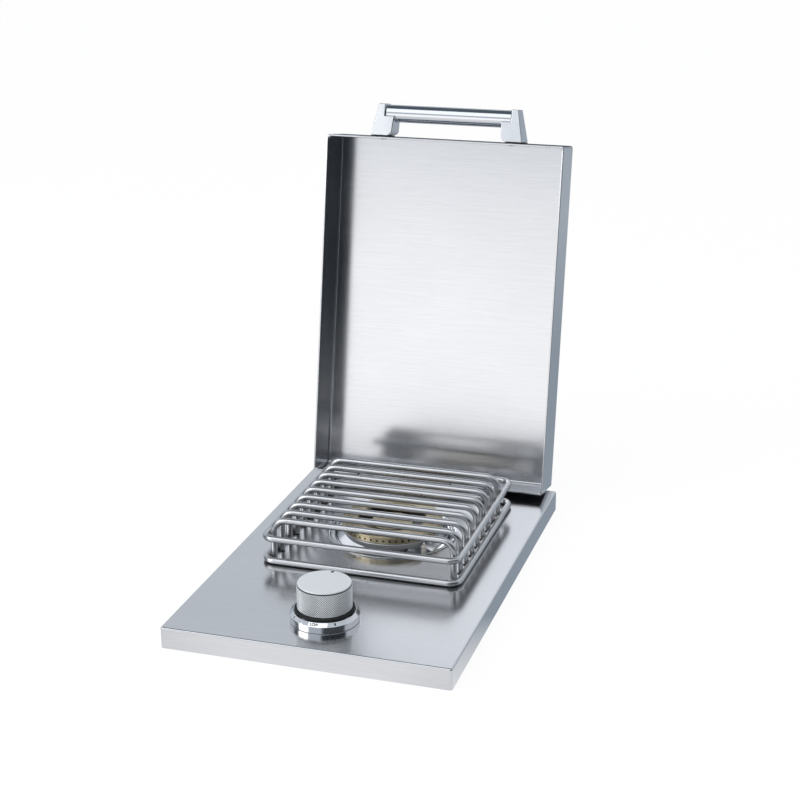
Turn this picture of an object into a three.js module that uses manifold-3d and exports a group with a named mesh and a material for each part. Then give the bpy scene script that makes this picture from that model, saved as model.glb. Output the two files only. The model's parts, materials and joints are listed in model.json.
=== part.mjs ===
import * as THREE from 'three';
import { mergeVertices } from 'three/addons/utils/BufferGeometryUtils.js';
import Module from 'manifold-3d';

// Built in side burner for an outdoor kitchen counter, in millimetres.
// X is to the right, Y to the back and Z up. The origin is the centre of the
// underside of the housing floor. The lid stands open.

const wasm = await Module();
wasm.setup();

// Clearances and drawing values
const seatGap = 0.3;
const overrun = 1;
const weldDistance = 0.0001;
const quarterTurn = Math.PI / 2;

// Top plate: a folded sheet with walls turned down and a return flange
const plateWidth = 300;
const plateDepth = 460.5;
const plateWallHeight = 22.5;
const plateSheet = 1.2;
const plateBendRadius = 2.6;
const plateCornerRadius = 3;
const plateFlangeWidth = 8.5;

// Housing pan hung below the plate
const housingHeight = 110;
const housingSideMargin = 19;
const housingEndMargin = 20.25;
const housingSheet = 1;
const housingBendRadius = 3;
const housingCornerRadius = 5;
const housingFlangeWidth = 9;
const ventLength = 34;
const ventHeight = 4;
const ventPitch = 16;
const ventCount = 3;
const ventTopDrop = 34;
const studHoleRadius = 2.5;
const studEndInset = 45;

// Burner and drip bowl
const burnerPlaceShare = 0.5318;
const bowlRimWidth = 3;
const bowlMouthRoom = 14.1;
const bowlWallRun = 25.4;
const bowlDepth = 19;
const bowlSheet = 0.9;
const bowlHoleClearance = 3;
const potRimInset = 1.7;
const potFootInset = 6.6;
const potRimHeight = 8.8;
const potFloorHeight = 3.4;
const potFloorThickness = 3;
const potWall = 3;
const neckRadius = 17;
const throatRadius = 12;
const elbowDrop = 38;
const elbowReach = 44;
const footDepth = 24;
const footWidth = 30;
const footClearance = 1.2;
const ringRadius = 56.3;
const ringBottom = 9.2;
const ringHeight = 7.8;
const ringWall = 2.6;
const ringTopWidth = 16.3;
const ringTopRise = 1.6;
const portCount = 50;
const portRadius = 1.1;
const portSides = 4;
const innerFlameWidth = 16;
const capTop = 15;
const capThickness = 2.4;
const capCrown = 1.6;
const capWall = 2.4;
const capPortCount = 12;
const capPortWidth = 2.6;
const capPortHeight = 3.2;
const electrodeAngle = -38.8;
const electrodeFromRing = 5.4;
const insulatorRadius = 2.9;
const insulatorBottom = -24;
const insulatorTop = 6;
const insulatorCollarRadius = 4.4;
const insulatorCollarHeight = 4;
const electrodeWireRadius = 0.8;
const electrodeTipHeight = 13;
const electrodeTipGap = 2.2;
const electrodeBend = 1.6;

// Mixing tube and air shutter
const tubeInsert = 22;
const tubeRadius = 13.1;
const tubeWall = 1.3;
const mouthRadius = 15;
const mouthLength = 13;
const throatWaistRadius = 9.4;
const waistStart = 30;
const waistEnd = 42;
const taperEnd = 96;
const tubeFromKnob = 40;
const airWindowWidth = 15;
const airWindowLength = 7;
const airWindowStart = 3;
const shutterWall = 1.2;
const shutterLength = 11;
const shutterHoleClearance = 1;

// Burner bracket across the housing
const bracketSheet = 1.5;
const bracketWidth = 40;
const bracketTab = 16;
const bracketScrewPitch = 22;
const screwHoleRadius = 2.4;
const footScrewPitch = 14;
const footHoleDepth = 4.6;

// Gas valve under the knob
const knobFromFront = 66;
const valveWidth = 26;
const valveDepth = 28;
const valveTopDrop = 12;
const valveHeight = 36;
const outletLevel = 38;
const bossRadius = 7.5;
const bossLength = 9;
const portBoreRadius = 3.2;
const springChamberRadius = 7.4;
const springChamberDepth = 14;
const plugTopRadius = 6.4;
const plugBottomRadius = 4.8;
const plugLength = 18;
const plugClearance = 0.4;
const plugSlotDepth = 9;
const plugPortRadius = 2;
const bonnetThickness = 2.6;
const bonnetWidth = 46;
const stemRadius = 4;
const stemFlat = 1;
const stemHoleRadius = 4.6;
const stemTopHeight = 30;
const stemBottomDrop = 21;
const collarRadius = 6.4;
const collarHeight = 1.8;
const tongueWidth = 8;
const tongueThickness = 2.4;
const tongueLength = 10;
const tongueClearance = 0.35;
const springWireRadius = 0.6;
const springRadius = 5.3;
const springTurns = 3;
const valveBracketSheet = 1.5;
const valveBracketDepth = 20;
const valveBracketFoot = 8;
const plateStemHoleRadius = 5.6;
const valveScrewHalfPitch = 10;
const bonnetScrewHalfPitch = 19;
const bodyScrewHalfPitch = 10.7;
const bodyHoleDepth = 5;

// Jet, pipe and inlet
const jetHexRadius = 6.6;
const jetHexLength = 5;
const jetConeRadius = 4.4;
const jetTipRadius = 2.4;
const jetTipLength = 15;
const jetShankRadius = 2.8;
const jetShankLength = 6;
const jetBoreRadius = 0.9;
const pipeRadius = 4.75;
const pipeBore = 3.6;
const pipeBend = 19;
const pipeSideInset = 51;
const inletRise = 25;
const pipeNutRadius = 8.4;
const pipeNutLength = 12;
const pipeNutBore = 5.2;
const inletBodyRadius = 8.2;
const inletInnerRadius = 7.2;
const inletHexRadius = 12;
const inletHexLength = 9;
const inletInnerLength = 6;
const inletOuterLength = 26;
const inletBore = 4;
const inletHoleRadius = 8.8;
const locknutRadius = 12;
const locknutHeight = 5;

// Igniter and lead
const moduleWidth = 20;
const moduleDepth = 34;
const moduleHeight = 20;
const moduleCorner = 3;
const moduleGap = 0.6;
const moduleTopDrop = 16;
const terminalRadius = 2.6;
const terminalLength = 6;
const leadRadius = 1.7;
const leadBend = 9;
const leadRunFromKnob = 104;
const leadLevel = 64;

// Knob and bezel
const knobRadius = 27.8;
const knobTop = 38.6;
const knobBottom = 15.4;
const knobHubRadius = 23.4;
const knobHubBottom = 11.4;
const knobShell = 3.2;
const knobBossRadius = 9;
const knobChamfer = 0.8;
const skirtRadius = 30.3;
const skirtTopRadius = 28.6;
const skirtBottom = 10.9;
const skirtHeight = 4.2;
const knobCapRadius = 27;
const knobCapThickness = 1.5;
const pointerWidth = 2.4;
const pointerLength = 5;
const pointerDepth = 3.4;
const bezelRadius = 35.4;
const bezelBore = 31;
const bezelWallHeight = 8.4;
const bezelTopHeight = 10.8;
const bezelEdge = 0.6;
const bezelTopLand = 0.5;

// Grate: nine U-shaped rods in two rounded frames
const grateFromKnob = 106;
const grateFromHinge = 23.3;
const grateSideShare = 0.44517;
const grateHeight = 49;
const grateRodRadius = 3.5;
const grateCornerRadius = 12;
const upperFrameLevel = 29;
const rodCount = 9;
const rodBend = 14;
const firstRodInset = 14;
const lastRodInset = 33.4;
const rodFootGap = 0.9;

// Lid: a shallow tray with a hemmed rim, hinged at the back
const lidSideMargin = 9.15;
const lidFrontMargin = 27;
const hingeFromRear = 32.2;
const lidHeadroom = 4.4;
const lidSheet = 1;
const lidBendRadius = 3;
const lidCornerRadius = 3.2;
const lidHem = 7;
const lidRimGap = 1;
const lidOpenDegrees = 99.72;

// Hinges
const hingeHeight = 6.8;
const hingeSideInset = 83.85;
const hingeLength = 50;
const knuckleRadius = 3.5;
const knuckleBore = 2.3;
const pinRadius = 1.9;
const pinHeadRadius = 2.9;
const pinHeadLength = 1.2;
const fixedKnuckleLength = 18;
const knuckleGap = 0.4;
const notchClearance = 0.6;
const leafSheet = 1.5;
const lidLeafHeight = 24;
const plateLeafReach = 19;
const webThickness = 2.4;
const rivetHalfPitch = 7;
const rivetHeight = 17;
const leafScrewHalfPitch = 18;
const leafScrewReach = 12;

// Handle on the front wall of the lid
const handleEndInset = 50.85;
const handleEarLean = 7;
const handleRise = 38;
const handlePadThickness = 1;
const bracketBaseWidth = 25;
const bracketHeelRadius = 6;
const bracketHeelRun = 5;
const earWidth = 8;
const ledgeWidth = 11.5;
const ledgeHeight = 24;
const bracketBaseDepth = 32;
const bracketTopDepth = 23;
const barRadius = 10;
const barHeight = 27;
const handleLevel = 25;
const handleScrewHalfPitch = 7;
const handleScrewInset = 14;
const handleScrewDepth = 9;

// Rubber stops
const stopSideInset = 40.85;
const stopWidth = 16;
const stopStart = 20;
const stopEnd = 28;

// Numbers of sides
const roundSides = 32;
const turnedSides = 14;
const smallSides = 8;
const holeSides = 6;
const rodSides = 8;
const leadSides = 6;
const bendSteps = 3;
const cornerSteps = 2;

// Places worked out from the sizes
const plateTop = housingHeight;
const plateFront = -plateDepth / 2;
const plateRear = plateDepth / 2;
const knobY = plateFront + knobFromFront;
const housingHalfWidth = plateWidth / 2 - housingSideMargin;
const housingHalfLength = plateDepth / 2 - housingEndMargin;
const hingeY = plateRear - hingeFromRear;
const lidWidth = plateWidth - 2 * lidSideMargin;
const hingeSideOffset = lidWidth / 2 - hingeSideInset;
const stopSideOffset = lidWidth / 2 - stopSideInset;
const handleBaseSpan = lidWidth - 2 * handleEndInset;
const handleTopSpan = handleBaseSpan - 2 * handleEarLean;
const pipeSideOffset = housingHalfWidth - pipeSideInset;
const lidLength = plateDepth - hingeFromRear - lidFrontMargin;
const lidDepth = grateHeight + lidHeadroom;
const rimDrop = hingeHeight - lidRimGap;
const lidOpenAngle = THREE.MathUtils.degToRad(lidOpenDegrees);
const lidLean = lidOpenAngle - quarterTurn;

// The burner's parts follow the flame ring, and the bowl goes round them.
const potRimRadius = ringRadius - potRimInset;
const potFootRadius = potRimRadius - potFootInset;
const ringTopInner = ringRadius - ringTopWidth;
const capRadius = ringTopInner - innerFlameWidth;
const bowlMouthRadius = ringRadius + bowlMouthRoom;
const bowlRimRadius = bowlMouthRadius + bowlRimWidth;
const bowlFloorRadius = bowlMouthRadius - bowlWallRun;
const bowlHoleRadius = neckRadius + bowlHoleClearance;

// The grate runs from the knob's panel to the hinges and stands round the bowl,
// its sides a share of the way from the bowl's rim to the plate's edge. The
// burner takes its share of the room that the bowl leaves between the ends.
const grateFrontY = knobY + grateFromKnob;
const grateLength = hingeY - grateFromHinge - grateFrontY;
const grateWidth = 2 * bowlRimRadius + grateSideShare * (plateWidth - 2 * bowlRimRadius);
const bowlKeepout = bowlRimRadius + grateRodRadius + seatGap;
const burnerSlack = grateLength - 2 * bowlKeepout;
const burnerY = grateFrontY + bowlKeepout + burnerPlaceShare * burnerSlack;
const electrodeRadius = ringRadius + electrodeFromRing;
const electrodeTurn = THREE.MathUtils.degToRad(electrodeAngle);
const electrodeX = electrodeRadius * Math.cos(electrodeTurn);
const electrodeY = burnerY + electrodeRadius * Math.sin(electrodeTurn);
const collarTop = valveTopDrop + bonnetThickness + seatGap;
const springTop = collarTop + collarHeight + seatGap;
const springBottom = valveTopDrop + springChamberDepth;

// Materials
function finish(color, roughness, metalness) {
  return new THREE.MeshStandardMaterial({ color, roughness, metalness });
}

const brushedSteel = finish(0xc2c6cc, 0.34, 1);
const polishedSteel = finish(0xd8dade, 0.12, 1);
const chrome = finish(0xe2e5ea, 0.06, 1);
const galvanised = finish(0x9aa0a6, 0.5, 0.9);
const brass = finish(0xa08a58, 0.3, 1);
const aluminium = finish(0xc9ccd0, 0.28, 1);
const paleAluminium = finish(0xdce3ea, 0.4, 0.6);
const blackRubber = finish(0x111214, 0.7, 0);
const blackPlastic = finish(0x1b1d20, 0.5, 0);
const ceramic = finish(0xf2f0ea, 0.35, 0);
const whiteLead = finish(0xe8e6e0, 0.5, 0);

// Shape tools

// A geometry with shared vertices, no flat triangles and its faces outward.
function tidy(geometry) {
  const bare = geometry.clone();
  bare.deleteAttribute('normal');
  bare.deleteAttribute('uv');
  const merged = mergeVertices(bare, weldDistance);
  const points = merged.attributes.position;
  const faces = merged.index.array;
  const a = new THREE.Vector3();
  const b = new THREE.Vector3();
  const c = new THREE.Vector3();
  const kept = [];
  let volume = 0;
  for (let face = 0; face < faces.length; face += 3) {
    const corners = [faces[face], faces[face + 1], faces[face + 2]];
    if (new Set(corners).size === 3) {
      kept.push(corners);
      a.fromBufferAttribute(points, corners[0]);
      b.fromBufferAttribute(points, corners[1]);
      c.fromBufferAttribute(points, corners[2]);
      volume += a.dot(b.cross(c));
    }
  }
  const outward = volume < 0 ? kept.map(([p, q, r]) => [p, r, q]) : kept;
  const result = new THREE.BufferGeometry();
  result.setAttribute('position', points);
  result.setIndex(outward.flat());
  return result;
}

function toSolid(geometry) {
  const closed = tidy(geometry);
  return new wasm.Manifold(new wasm.Mesh({
    numProp: 3,
    vertProperties: new Float32Array(closed.attributes.position.array),
    triVerts: new Uint32Array(closed.index.array),
  }));
}

function toGeometry(solid) {
  const mesh = solid.getMesh();
  const geometry = new THREE.BufferGeometry();
  geometry.setAttribute('position', new THREE.BufferAttribute(mesh.vertProperties, 3));
  geometry.setIndex(new THREE.BufferAttribute(mesh.triVerts, 1));
  return geometry;
}

function cut(body, ...tools) {
  return tools.reduce((left, tool) => left.subtract(tool), body);
}

function join(body, ...others) {
  return others.reduce((left, other) => left.add(other), body);
}

// A block between two corners.
function block([x0, y0, z0], [x1, y1, z1]) {
  const geometry = new THREE.BoxGeometry(x1 - x0, y1 - y0, z1 - z0);
  geometry.translate((x0 + x1) / 2, (y0 + y1) / 2, (z0 + z1) / 2);
  return toSolid(geometry);
}

// A round or many-sided bar between two points.
function bar(from, to, radius, sides = smallSides, endRadius = radius) {
  const start = new THREE.Vector3(...from);
  const run = new THREE.Vector3(...to).sub(start);
  const length = run.length();
  const geometry = new THREE.CylinderGeometry(endRadius, radius, length, sides);
  geometry.translate(0, length / 2, 0);
  const up = new THREE.Vector3(0, 1, 0);
  geometry.applyQuaternion(new THREE.Quaternion().setFromUnitVectors(up, run.normalize()));
  geometry.translate(start.x, start.y, start.z);
  return toSolid(geometry);
}

// A screw or rivet hole between two points.
function drill(from, to) {
  return bar(from, to, screwHoleRadius, holeSides);
}

// A revolved body about the vertical line through (x, y).
function revolve(profile, sides, x = 0, y = 0) {
  const geometry = new THREE.LatheGeometry(profile.map(([r, z]) => new THREE.Vector2(r, z)), sides);
  geometry.rotateX(quarterTurn);
  geometry.translate(x, y, 0);
  return toSolid(geometry);
}

// An outline in the X-Z plane, drawn out along Y.
function extrudeAlongY(outline, y0, y1) {
  const shape = new THREE.Shape(outline.map(([x, z]) => new THREE.Vector2(x, z)));
  const geometry = new THREE.ExtrudeGeometry(shape, { depth: y1 - y0, bevelEnabled: false });
  geometry.rotateX(quarterTurn);
  geometry.translate(0, y1, 0);
  return toSolid(geometry);
}

// An outline in the Y-Z plane, drawn out along X.
function extrudeAlongX(outline, x0, x1) {
  const shape = new THREE.Shape(outline.map(([y, z]) => new THREE.Vector2(y, z)));
  const geometry = new THREE.ExtrudeGeometry(shape, { depth: x1 - x0, bevelEnabled: false });
  geometry.rotateX(quarterTurn);
  geometry.rotateZ(quarterTurn);
  geometry.translate(x0, 0, 0);
  return toSolid(geometry);
}

// An outline in the X-Y plane, drawn up along Z.
function extrudeUp(outline, z0, z1) {
  const shape = new THREE.Shape(outline.map(([x, y]) => new THREE.Vector2(x, y)));
  const geometry = new THREE.ExtrudeGeometry(shape, { depth: z1 - z0, bevelEnabled: false });
  geometry.translate(0, 0, z0);
  return toSolid(geometry);
}

// The points of a quarter arc or less, from one angle to another in degrees.
function arcPoints(centreU, centreV, radius, fromDegrees, toDegrees, steps) {
  return Array.from({ length: steps + 1 }, (unused, step) => {
    const angle = THREE.MathUtils.degToRad(fromDegrees + ((toDegrees - fromDegrees) * step) / steps);
    return [centreU + radius * Math.cos(angle), centreV + radius * Math.sin(angle)];
  });
}

// The corners of a rounded rectangle: their signs and where each arc starts.
const cornerDegrees = 90;
const cornerSigns = [[1, 1], [-1, 1], [-1, -1], [1, -1]]
  .map(([signU, signV], index) => [signU, signV, index * cornerDegrees]);

// One level ring of a tray: a rectangle with rounded corners.
function trayRing(halfX, halfY, cornerRadius, level) {
  const cornerX = halfX - cornerRadius;
  const cornerY = halfY - cornerRadius;
  return cornerSigns.flatMap(([sideX, sideY, from]) => (
    arcPoints(sideX * cornerX, sideY * cornerY, cornerRadius, from, from + cornerDegrees, cornerSteps)
      .map(([x, y]) => [x, y, level])
  ));
}

// A folded tray: rings of (inset, level) joined in order, closed at both ends.
function tray(halfX, halfY, cornerRadius, section) {
  const smallestCorner = cornerRadius / 8;
  const rings = section.map(([inset, level]) => trayRing(
    halfX - inset,
    halfY - inset,
    Math.max(cornerRadius - inset, smallestCorner),
    level,
  ));
  const count = rings[0].length;
  const positions = rings.flat(2);
  const faces = [];
  for (let ring = 0; ring + 1 < rings.length; ring += 1) {
    for (let side = 0; side < count; side += 1) {
      const next = (side + 1) % count;
      const low = ring * count;
      const high = low + count;
      faces.push(low + side, low + next, high + side);
      faces.push(low + next, high + next, high + side);
    }
  }
  const last = (rings.length - 1) * count;
  for (let side = 1; side + 1 < count; side += 1) {
    faces.push(0, side + 1, side);
    faces.push(last, last + side, last + side + 1);
  }
  const geometry = new THREE.BufferGeometry();
  geometry.setAttribute('position', new THREE.Float32BufferAttribute(positions, 3));
  geometry.setIndex(faces);
  return toSolid(geometry);
}

// A path through given stations, so that a swept tube has a ring at each one.
class StationPath extends THREE.Curve {
  constructor(stations, closed = false) {
    super();
    this.stations = stations;
    this.closed = closed;
  }

  getPointAt(share) {
    const last = this.closed ? this.stations.length : this.stations.length - 1;
    return this.stations[Math.round(share * last) % this.stations.length].clone();
  }

  getTangentAt(share) {
    const count = this.stations.length;
    const last = this.closed ? count : count - 1;
    const index = Math.round(share * last);
    const here = this.stations[index % count];
    const before = this.closed ? this.stations[(index + count - 1) % count] : this.stations[index - 1];
    const after = this.closed ? this.stations[(index + 1) % count] : this.stations[index + 1];
    const tangent = new THREE.Vector3();
    if (before) tangent.add(here.clone().sub(before).normalize());
    if (after) tangent.add(after.clone().sub(here).normalize());
    return tangent.normalize();
  }
}

// Stations along a run of corners, each corner rounded by an arc.
function route(corners, bendRadius, steps, closed = false) {
  const points = corners.map((corner) => new THREE.Vector3(...corner));
  const count = points.length;
  const stations = [];
  points.forEach((point, index) => {
    if (!closed && (index === 0 || index === count - 1)) {
      stations.push(point);
      return;
    }
    const into = point.clone().sub(points[(index + count - 1) % count]).normalize();
    const outOf = points[(index + 1) % count].clone().sub(point).normalize();
    const turn = into.angleTo(outOf);
    const setback = bendRadius * Math.tan(turn / 2);
    const inward = outOf.clone().sub(into).normalize();
    const centre = point.clone().addScaledVector(inward, Math.hypot(bendRadius, setback));
    const start = point.clone().addScaledVector(into, -setback).sub(centre);
    const axis = into.clone().cross(outOf).normalize();
    for (let step = 0; step <= steps; step += 1) {
      const spoke = start.clone().applyAxisAngle(axis, (turn * step) / steps);
      stations.push(spoke.add(centre));
    }
  });
  return stations;
}

function polygon(radius, sides) {
  const shape = new THREE.Shape();
  for (let side = 0; side < sides; side += 1) {
    const angle = ((side + 0.5) * 2 * Math.PI) / sides;
    const x = radius * Math.cos(angle);
    const y = radius * Math.sin(angle);
    if (side === 0) shape.moveTo(x, y);
    else shape.lineTo(x, y);
  }
  shape.closePath();
  return shape;
}

// A rod or pipe along stations, with flat ends.
function rodAlong(stations, radius, sides) {
  const path = new StationPath(stations);
  return new THREE.ExtrudeGeometry(polygon(radius, sides), {
    steps: stations.length - 1,
    extrudePath: path,
  });
}

// A rod bent into a closed frame.
function frameAlong(stations, radius, sides) {
  return new THREE.TubeGeometry(new StationPath(stations, true), stations.length, radius, sides, true);
}

const sideBurner = new THREE.Group();
const plateLevel = new THREE.Group();
plateLevel.position.z = plateTop;
sideBurner.add(plateLevel);

const lidGroup = new THREE.Group();
lidGroup.position.set(0, hingeY, hingeHeight);
lidGroup.rotation.x = -lidOpenAngle;
plateLevel.add(lidGroup);

function place(parent, name, body, material) {
  const geometry = tidy(body.isBufferGeometry ? body : toGeometry(body));
  const mesh = new THREE.Mesh(geometry, material);
  mesh.name = name;
  parent.add(mesh);
}

// Top plate
function topPlate() {
  const inner = plateBendRadius - plateSheet;
  const wallBottom = -plateWallHeight;
  const flangeTop = wallBottom + plateSheet;
  const section = [
    ...arcPoints(plateBendRadius, -plateBendRadius, inner, 90, 180, bendSteps),
    [plateSheet, flangeTop],
    [plateFlangeWidth, flangeTop],
    [plateFlangeWidth, wallBottom],
    [0, wallBottom],
    ...arcPoints(plateBendRadius, -plateBendRadius, plateBendRadius, 180, 90, bendSteps),
  ];
  const sheet = tray(plateWidth / 2, plateDepth / 2, plateCornerRadius, section);
  const holes = [
    [0, burnerY, bowlMouthRadius + seatGap, roundSides],
    [0, knobY, plateStemHoleRadius, turnedSides],
  ];
  for (const side of [-1, 1]) {
    holes.push([side * valveScrewHalfPitch, knobY, screwHoleRadius, holeSides]);
    for (const end of [-1, 1]) {
      const screwX = side * hingeSideOffset + end * leafScrewHalfPitch;
      holes.push([screwX, hingeY + leafScrewReach, screwHoleRadius, holeSides]);
    }
  }
  const drills = holes.map(([x, y, radius, sides]) => (
    bar([x, y, -plateBendRadius], [x, y, overrun], radius, sides)
  ));
  return cut(sheet, ...drills);
}
place(plateLevel, 'top_plate', topPlate(), brushedSteel);

// Drip bowl: an elliptical dish that hangs by its rim
function bowlCurve(offset, steps) {
  return Array.from({ length: steps + 1 }, (unused, step) => {
    const angle = (quarterTurn * step) / steps;
    const reach = bowlMouthRadius - bowlFloorRadius;
    return [
      bowlFloorRadius + reach * Math.cos(angle) - offset * Math.cos(angle),
      seatGap + bowlSheet - bowlDepth * Math.sin(angle) - offset * (1 - Math.sin(angle)),
    ];
  });
}

function dripBowl() {
  const rimTop = seatGap + bowlSheet;
  const floorTop = rimTop - bowlDepth;
  const curveSteps = 2 * bendSteps - 1;
  const upper = bowlCurve(bowlSheet, curveSteps).slice(1);
  const lower = bowlCurve(0, curveSteps).slice(1).map(([r, z]) => [r, z - bowlSheet]).reverse();
  const profile = [
    [bowlHoleRadius, floorTop - bowlSheet],
    ...lower,
    [bowlMouthRadius, seatGap],
    [bowlRimRadius, seatGap],
    [bowlRimRadius, rimTop],
    [bowlMouthRadius - bowlSheet, rimTop],
    ...upper,
    [bowlHoleRadius, floorTop],
    [bowlHoleRadius, floorTop - bowlSheet],
  ];
  const dish = revolve(profile, roundSides, 0, burnerY);
  const top = [electrodeX, electrodeY, rimTop];
  const bottom = [electrodeX, electrodeY, floorTop - overrun];
  return cut(dish, bar(bottom, top, insulatorRadius + seatGap * 2, smallSides));
}
place(plateLevel, 'drip_bowl', dripBowl(), polishedSteel);

// Housing pan, open at the top, with a flange turned outward
function housingPan() {
  const inner = housingBendRadius - housingSheet;
  const floor = -housingHeight;
  const bendLevel = floor + housingBendRadius;
  const top = -plateSheet - seatGap;
  const section = [
    ...arcPoints(housingBendRadius, bendLevel, inner, 270, 180, bendSteps),
    [housingSheet, top],
    [-housingFlangeWidth, top],
    [-housingFlangeWidth, top - housingSheet],
    [0, top - housingSheet],
    ...arcPoints(housingBendRadius, bendLevel, housingBendRadius, 180, 270, bendSteps),
  ];
  let pan = tray(housingHalfWidth, housingHalfLength, housingCornerRadius, section);
  const wallCut = housingSheet + overrun;
  for (const side of [-1, 1]) {
    const wall = side * housingHalfWidth;
    for (let row = 0; row < ventCount; row += 1) {
      const ventTop = -ventTopDrop - row * ventPitch;
      for (const centreY of [-housingHalfLength / 2, housingHalfLength / 2]) {
        pan = cut(pan, block(
          [wall - wallCut, centreY - ventLength / 2, ventTop - ventHeight],
          [wall + wallCut, centreY + ventLength / 2, ventTop],
        ));
      }
    }
    for (const end of [-1, 0, 1]) {
      const studX = side * (housingHalfWidth + housingFlangeWidth / 2);
      const studY = end * (housingHalfLength - studEndInset);
      pan = cut(pan, bar([studX, studY, top - wallCut], [studX, studY, 0], studHoleRadius));
    }
    for (const end of [-1, 1]) {
      const screwY = burnerY + (end * bracketScrewPitch) / 2;
      const screwZ = bracketScrewLevel();
      const inside = [wall - wallCut, screwY, screwZ];
      const outside = [wall + wallCut, screwY, screwZ];
      pan = cut(pan, drill(inside, outside));
    }
  }
  const rear = housingHalfLength;
  const inletZ = floor + inletRise;
  const from = [pipeSideOffset, rear - wallCut, inletZ];
  const to = [pipeSideOffset, rear + wallCut, inletZ];
  return cut(pan, bar(from, to, inletHoleRadius, turnedSides));
}

function bracketWebTop() {
  return -elbowDrop - neckRadius - footClearance - seatGap;
}

function bracketScrewLevel() {
  return bracketWebTop() - bracketTab / 2;
}
place(plateLevel, 'housing_pan', housingPan(), galvanised);

// Burner bracket: a sheet strip between the housing walls, tabs turned down
function burnerBracket() {
  const half = housingHalfWidth - housingSheet - seatGap;
  const top = bracketWebTop();
  const bottom = top - bracketTab;
  const outline = [
    [-half, bottom],
    [-half, top],
    [half, top],
    [half, bottom],
    [half - bracketSheet, bottom],
    [half - bracketSheet, top - bracketSheet],
    [-half + bracketSheet, top - bracketSheet],
    [-half + bracketSheet, bottom],
  ];
  let strip = extrudeAlongY(outline, burnerY - bracketWidth / 2, burnerY + bracketWidth / 2);
  for (const end of [-1, 1]) {
    const y = burnerY + (end * bracketScrewPitch) / 2;
    const z = bracketScrewLevel();
    const reach = half + overrun;
    strip = cut(strip, drill([-reach, y, z], [reach, y, z]));
    const x = (end * footScrewPitch) / 2;
    const below = [x, burnerY, top - bracketSheet - overrun];
    strip = cut(strip, drill(below, [x, burnerY, top + overrun]));
  }
  return strip;
}
place(plateLevel, 'burner_bracket', burnerBracket(), galvanised);

// Burner pot: a shallow cup on a neck that turns forward as an elbow
function burnerPot() {
  const floorBottom = potFloorHeight - potFloorThickness;
  const neckTop = floorBottom - potFloorThickness;
  const sideSteps = arcPoints(potFootRadius, potRimHeight, 1, 270, 360, bendSteps)
    .map(([r, z]) => [
      potFootRadius + (r - potFootRadius) * (potRimRadius - potFootRadius),
      potRimHeight + (z - potRimHeight) * (potRimHeight - floorBottom),
    ]);
  const cup = revolve([
    [0, -elbowDrop],
    [neckRadius, -elbowDrop],
    [neckRadius, neckTop],
    [neckRadius + potFloorThickness, floorBottom],
    ...sideSteps,
    [potRimRadius - potWall, potRimHeight],
    [potRimRadius - potWall, potFloorHeight],
    [0, potFloorHeight],
  ], roundSides, 0, burnerY);
  const elbowBottom = -elbowDrop - neckRadius;
  const back = burnerY + neckRadius;
  const front = burnerY - elbowReach;
  const arm = bar([0, front, -elbowDrop], [0, back, -elbowDrop], neckRadius, turnedSides);
  const foot = block(
    [-footWidth / 2, burnerY - footDepth / 2, elbowBottom - footClearance],
    [footWidth / 2, burnerY + footDepth / 2, -elbowDrop],
  );
  const socket = tubeRadius + seatGap;
  const boreEnd = back - potWall;
  const bore = bar([0, front - overrun, -elbowDrop], [0, boreEnd, -elbowDrop], socket, turnedSides);
  const throat = bar([0, burnerY, -elbowDrop], [0, burnerY, potRimHeight], throatRadius, turnedSides);
  const footScrews = [-1, 1].map((side) => {
    const x = (side * footScrewPitch) / 2;
    const bottom = elbowBottom - footClearance;
    return drill([x, burnerY, bottom - overrun], [x, burnerY, bottom + footHoleDepth]);
  });
  const body = cut(join(cup, arm, foot), bore, throat);
  return cut(body, ...footScrews);
}
place(plateLevel, 'burner_pot', burnerPot(), aluminium);

// Mixing tube: a flared mouth, a narrow waist and a slow taper to the pot
function tubeProfile(wallInset) {
  const length = burnerY - tubeInsert - (knobY + tubeFromKnob);
  return {
    length,
    points: [
      [mouthRadius - wallInset, 0],
      [mouthRadius - wallInset, mouthLength],
      [throatWaistRadius - wallInset, waistStart],
      [throatWaistRadius - wallInset, waistEnd],
      [tubeRadius - wallInset, taperEnd],
      [tubeRadius - wallInset, length],
    ],
  };
}

function mixingTube() {
  const outer = tubeProfile(0);
  const inner = tubeProfile(tubeWall);
  const profile = [...outer.points, ...inner.points.reverse(), outer.points[0]];
  const geometry = new THREE.LatheGeometry(
    profile.map(([r, s]) => new THREE.Vector2(r, s)),
    turnedSides,
  );
  geometry.translate(0, knobY + tubeFromKnob, 0);
  geometry.translate(0, 0, -elbowDrop);
  const tube = toSolid(geometry);
  return cut(tube, airWindow(mouthRadius));
}

// The air windows, cut through the mouth from side to side
function airWindow(reach) {
  const start = knobY + tubeFromKnob + airWindowStart;
  const wide = reach + overrun * 2;
  return block(
    [-wide, start, -elbowDrop - airWindowWidth / 2],
    [wide, start + airWindowLength, -elbowDrop + airWindowWidth / 2],
  );
}
place(plateLevel, 'mixing_tube', mixingTube(), galvanised);

// Air shutter: a cup over the mouth, with windows and a hole for the jet
function airShutter() {
  const bore = mouthRadius + seatGap * 2;
  const radius = bore + shutterWall;
  const mouth = knobY + tubeFromKnob;
  const front = mouth - seatGap - shutterWall;
  const sides = turnedSides;
  const end = mouth + shutterLength;
  const at = (y) => [0, y, -elbowDrop];
  const cup = bar(at(front), at(end), radius, sides);
  const hollow = bar(at(mouth - seatGap), at(end + overrun), bore, sides);
  const hole = bar(at(front - overrun), at(mouth), jetConeRadius + shutterHoleClearance);
  return cut(cup, hollow, hole, airWindow(radius));
}
place(plateLevel, 'air_shutter', airShutter(), galvanised);

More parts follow.
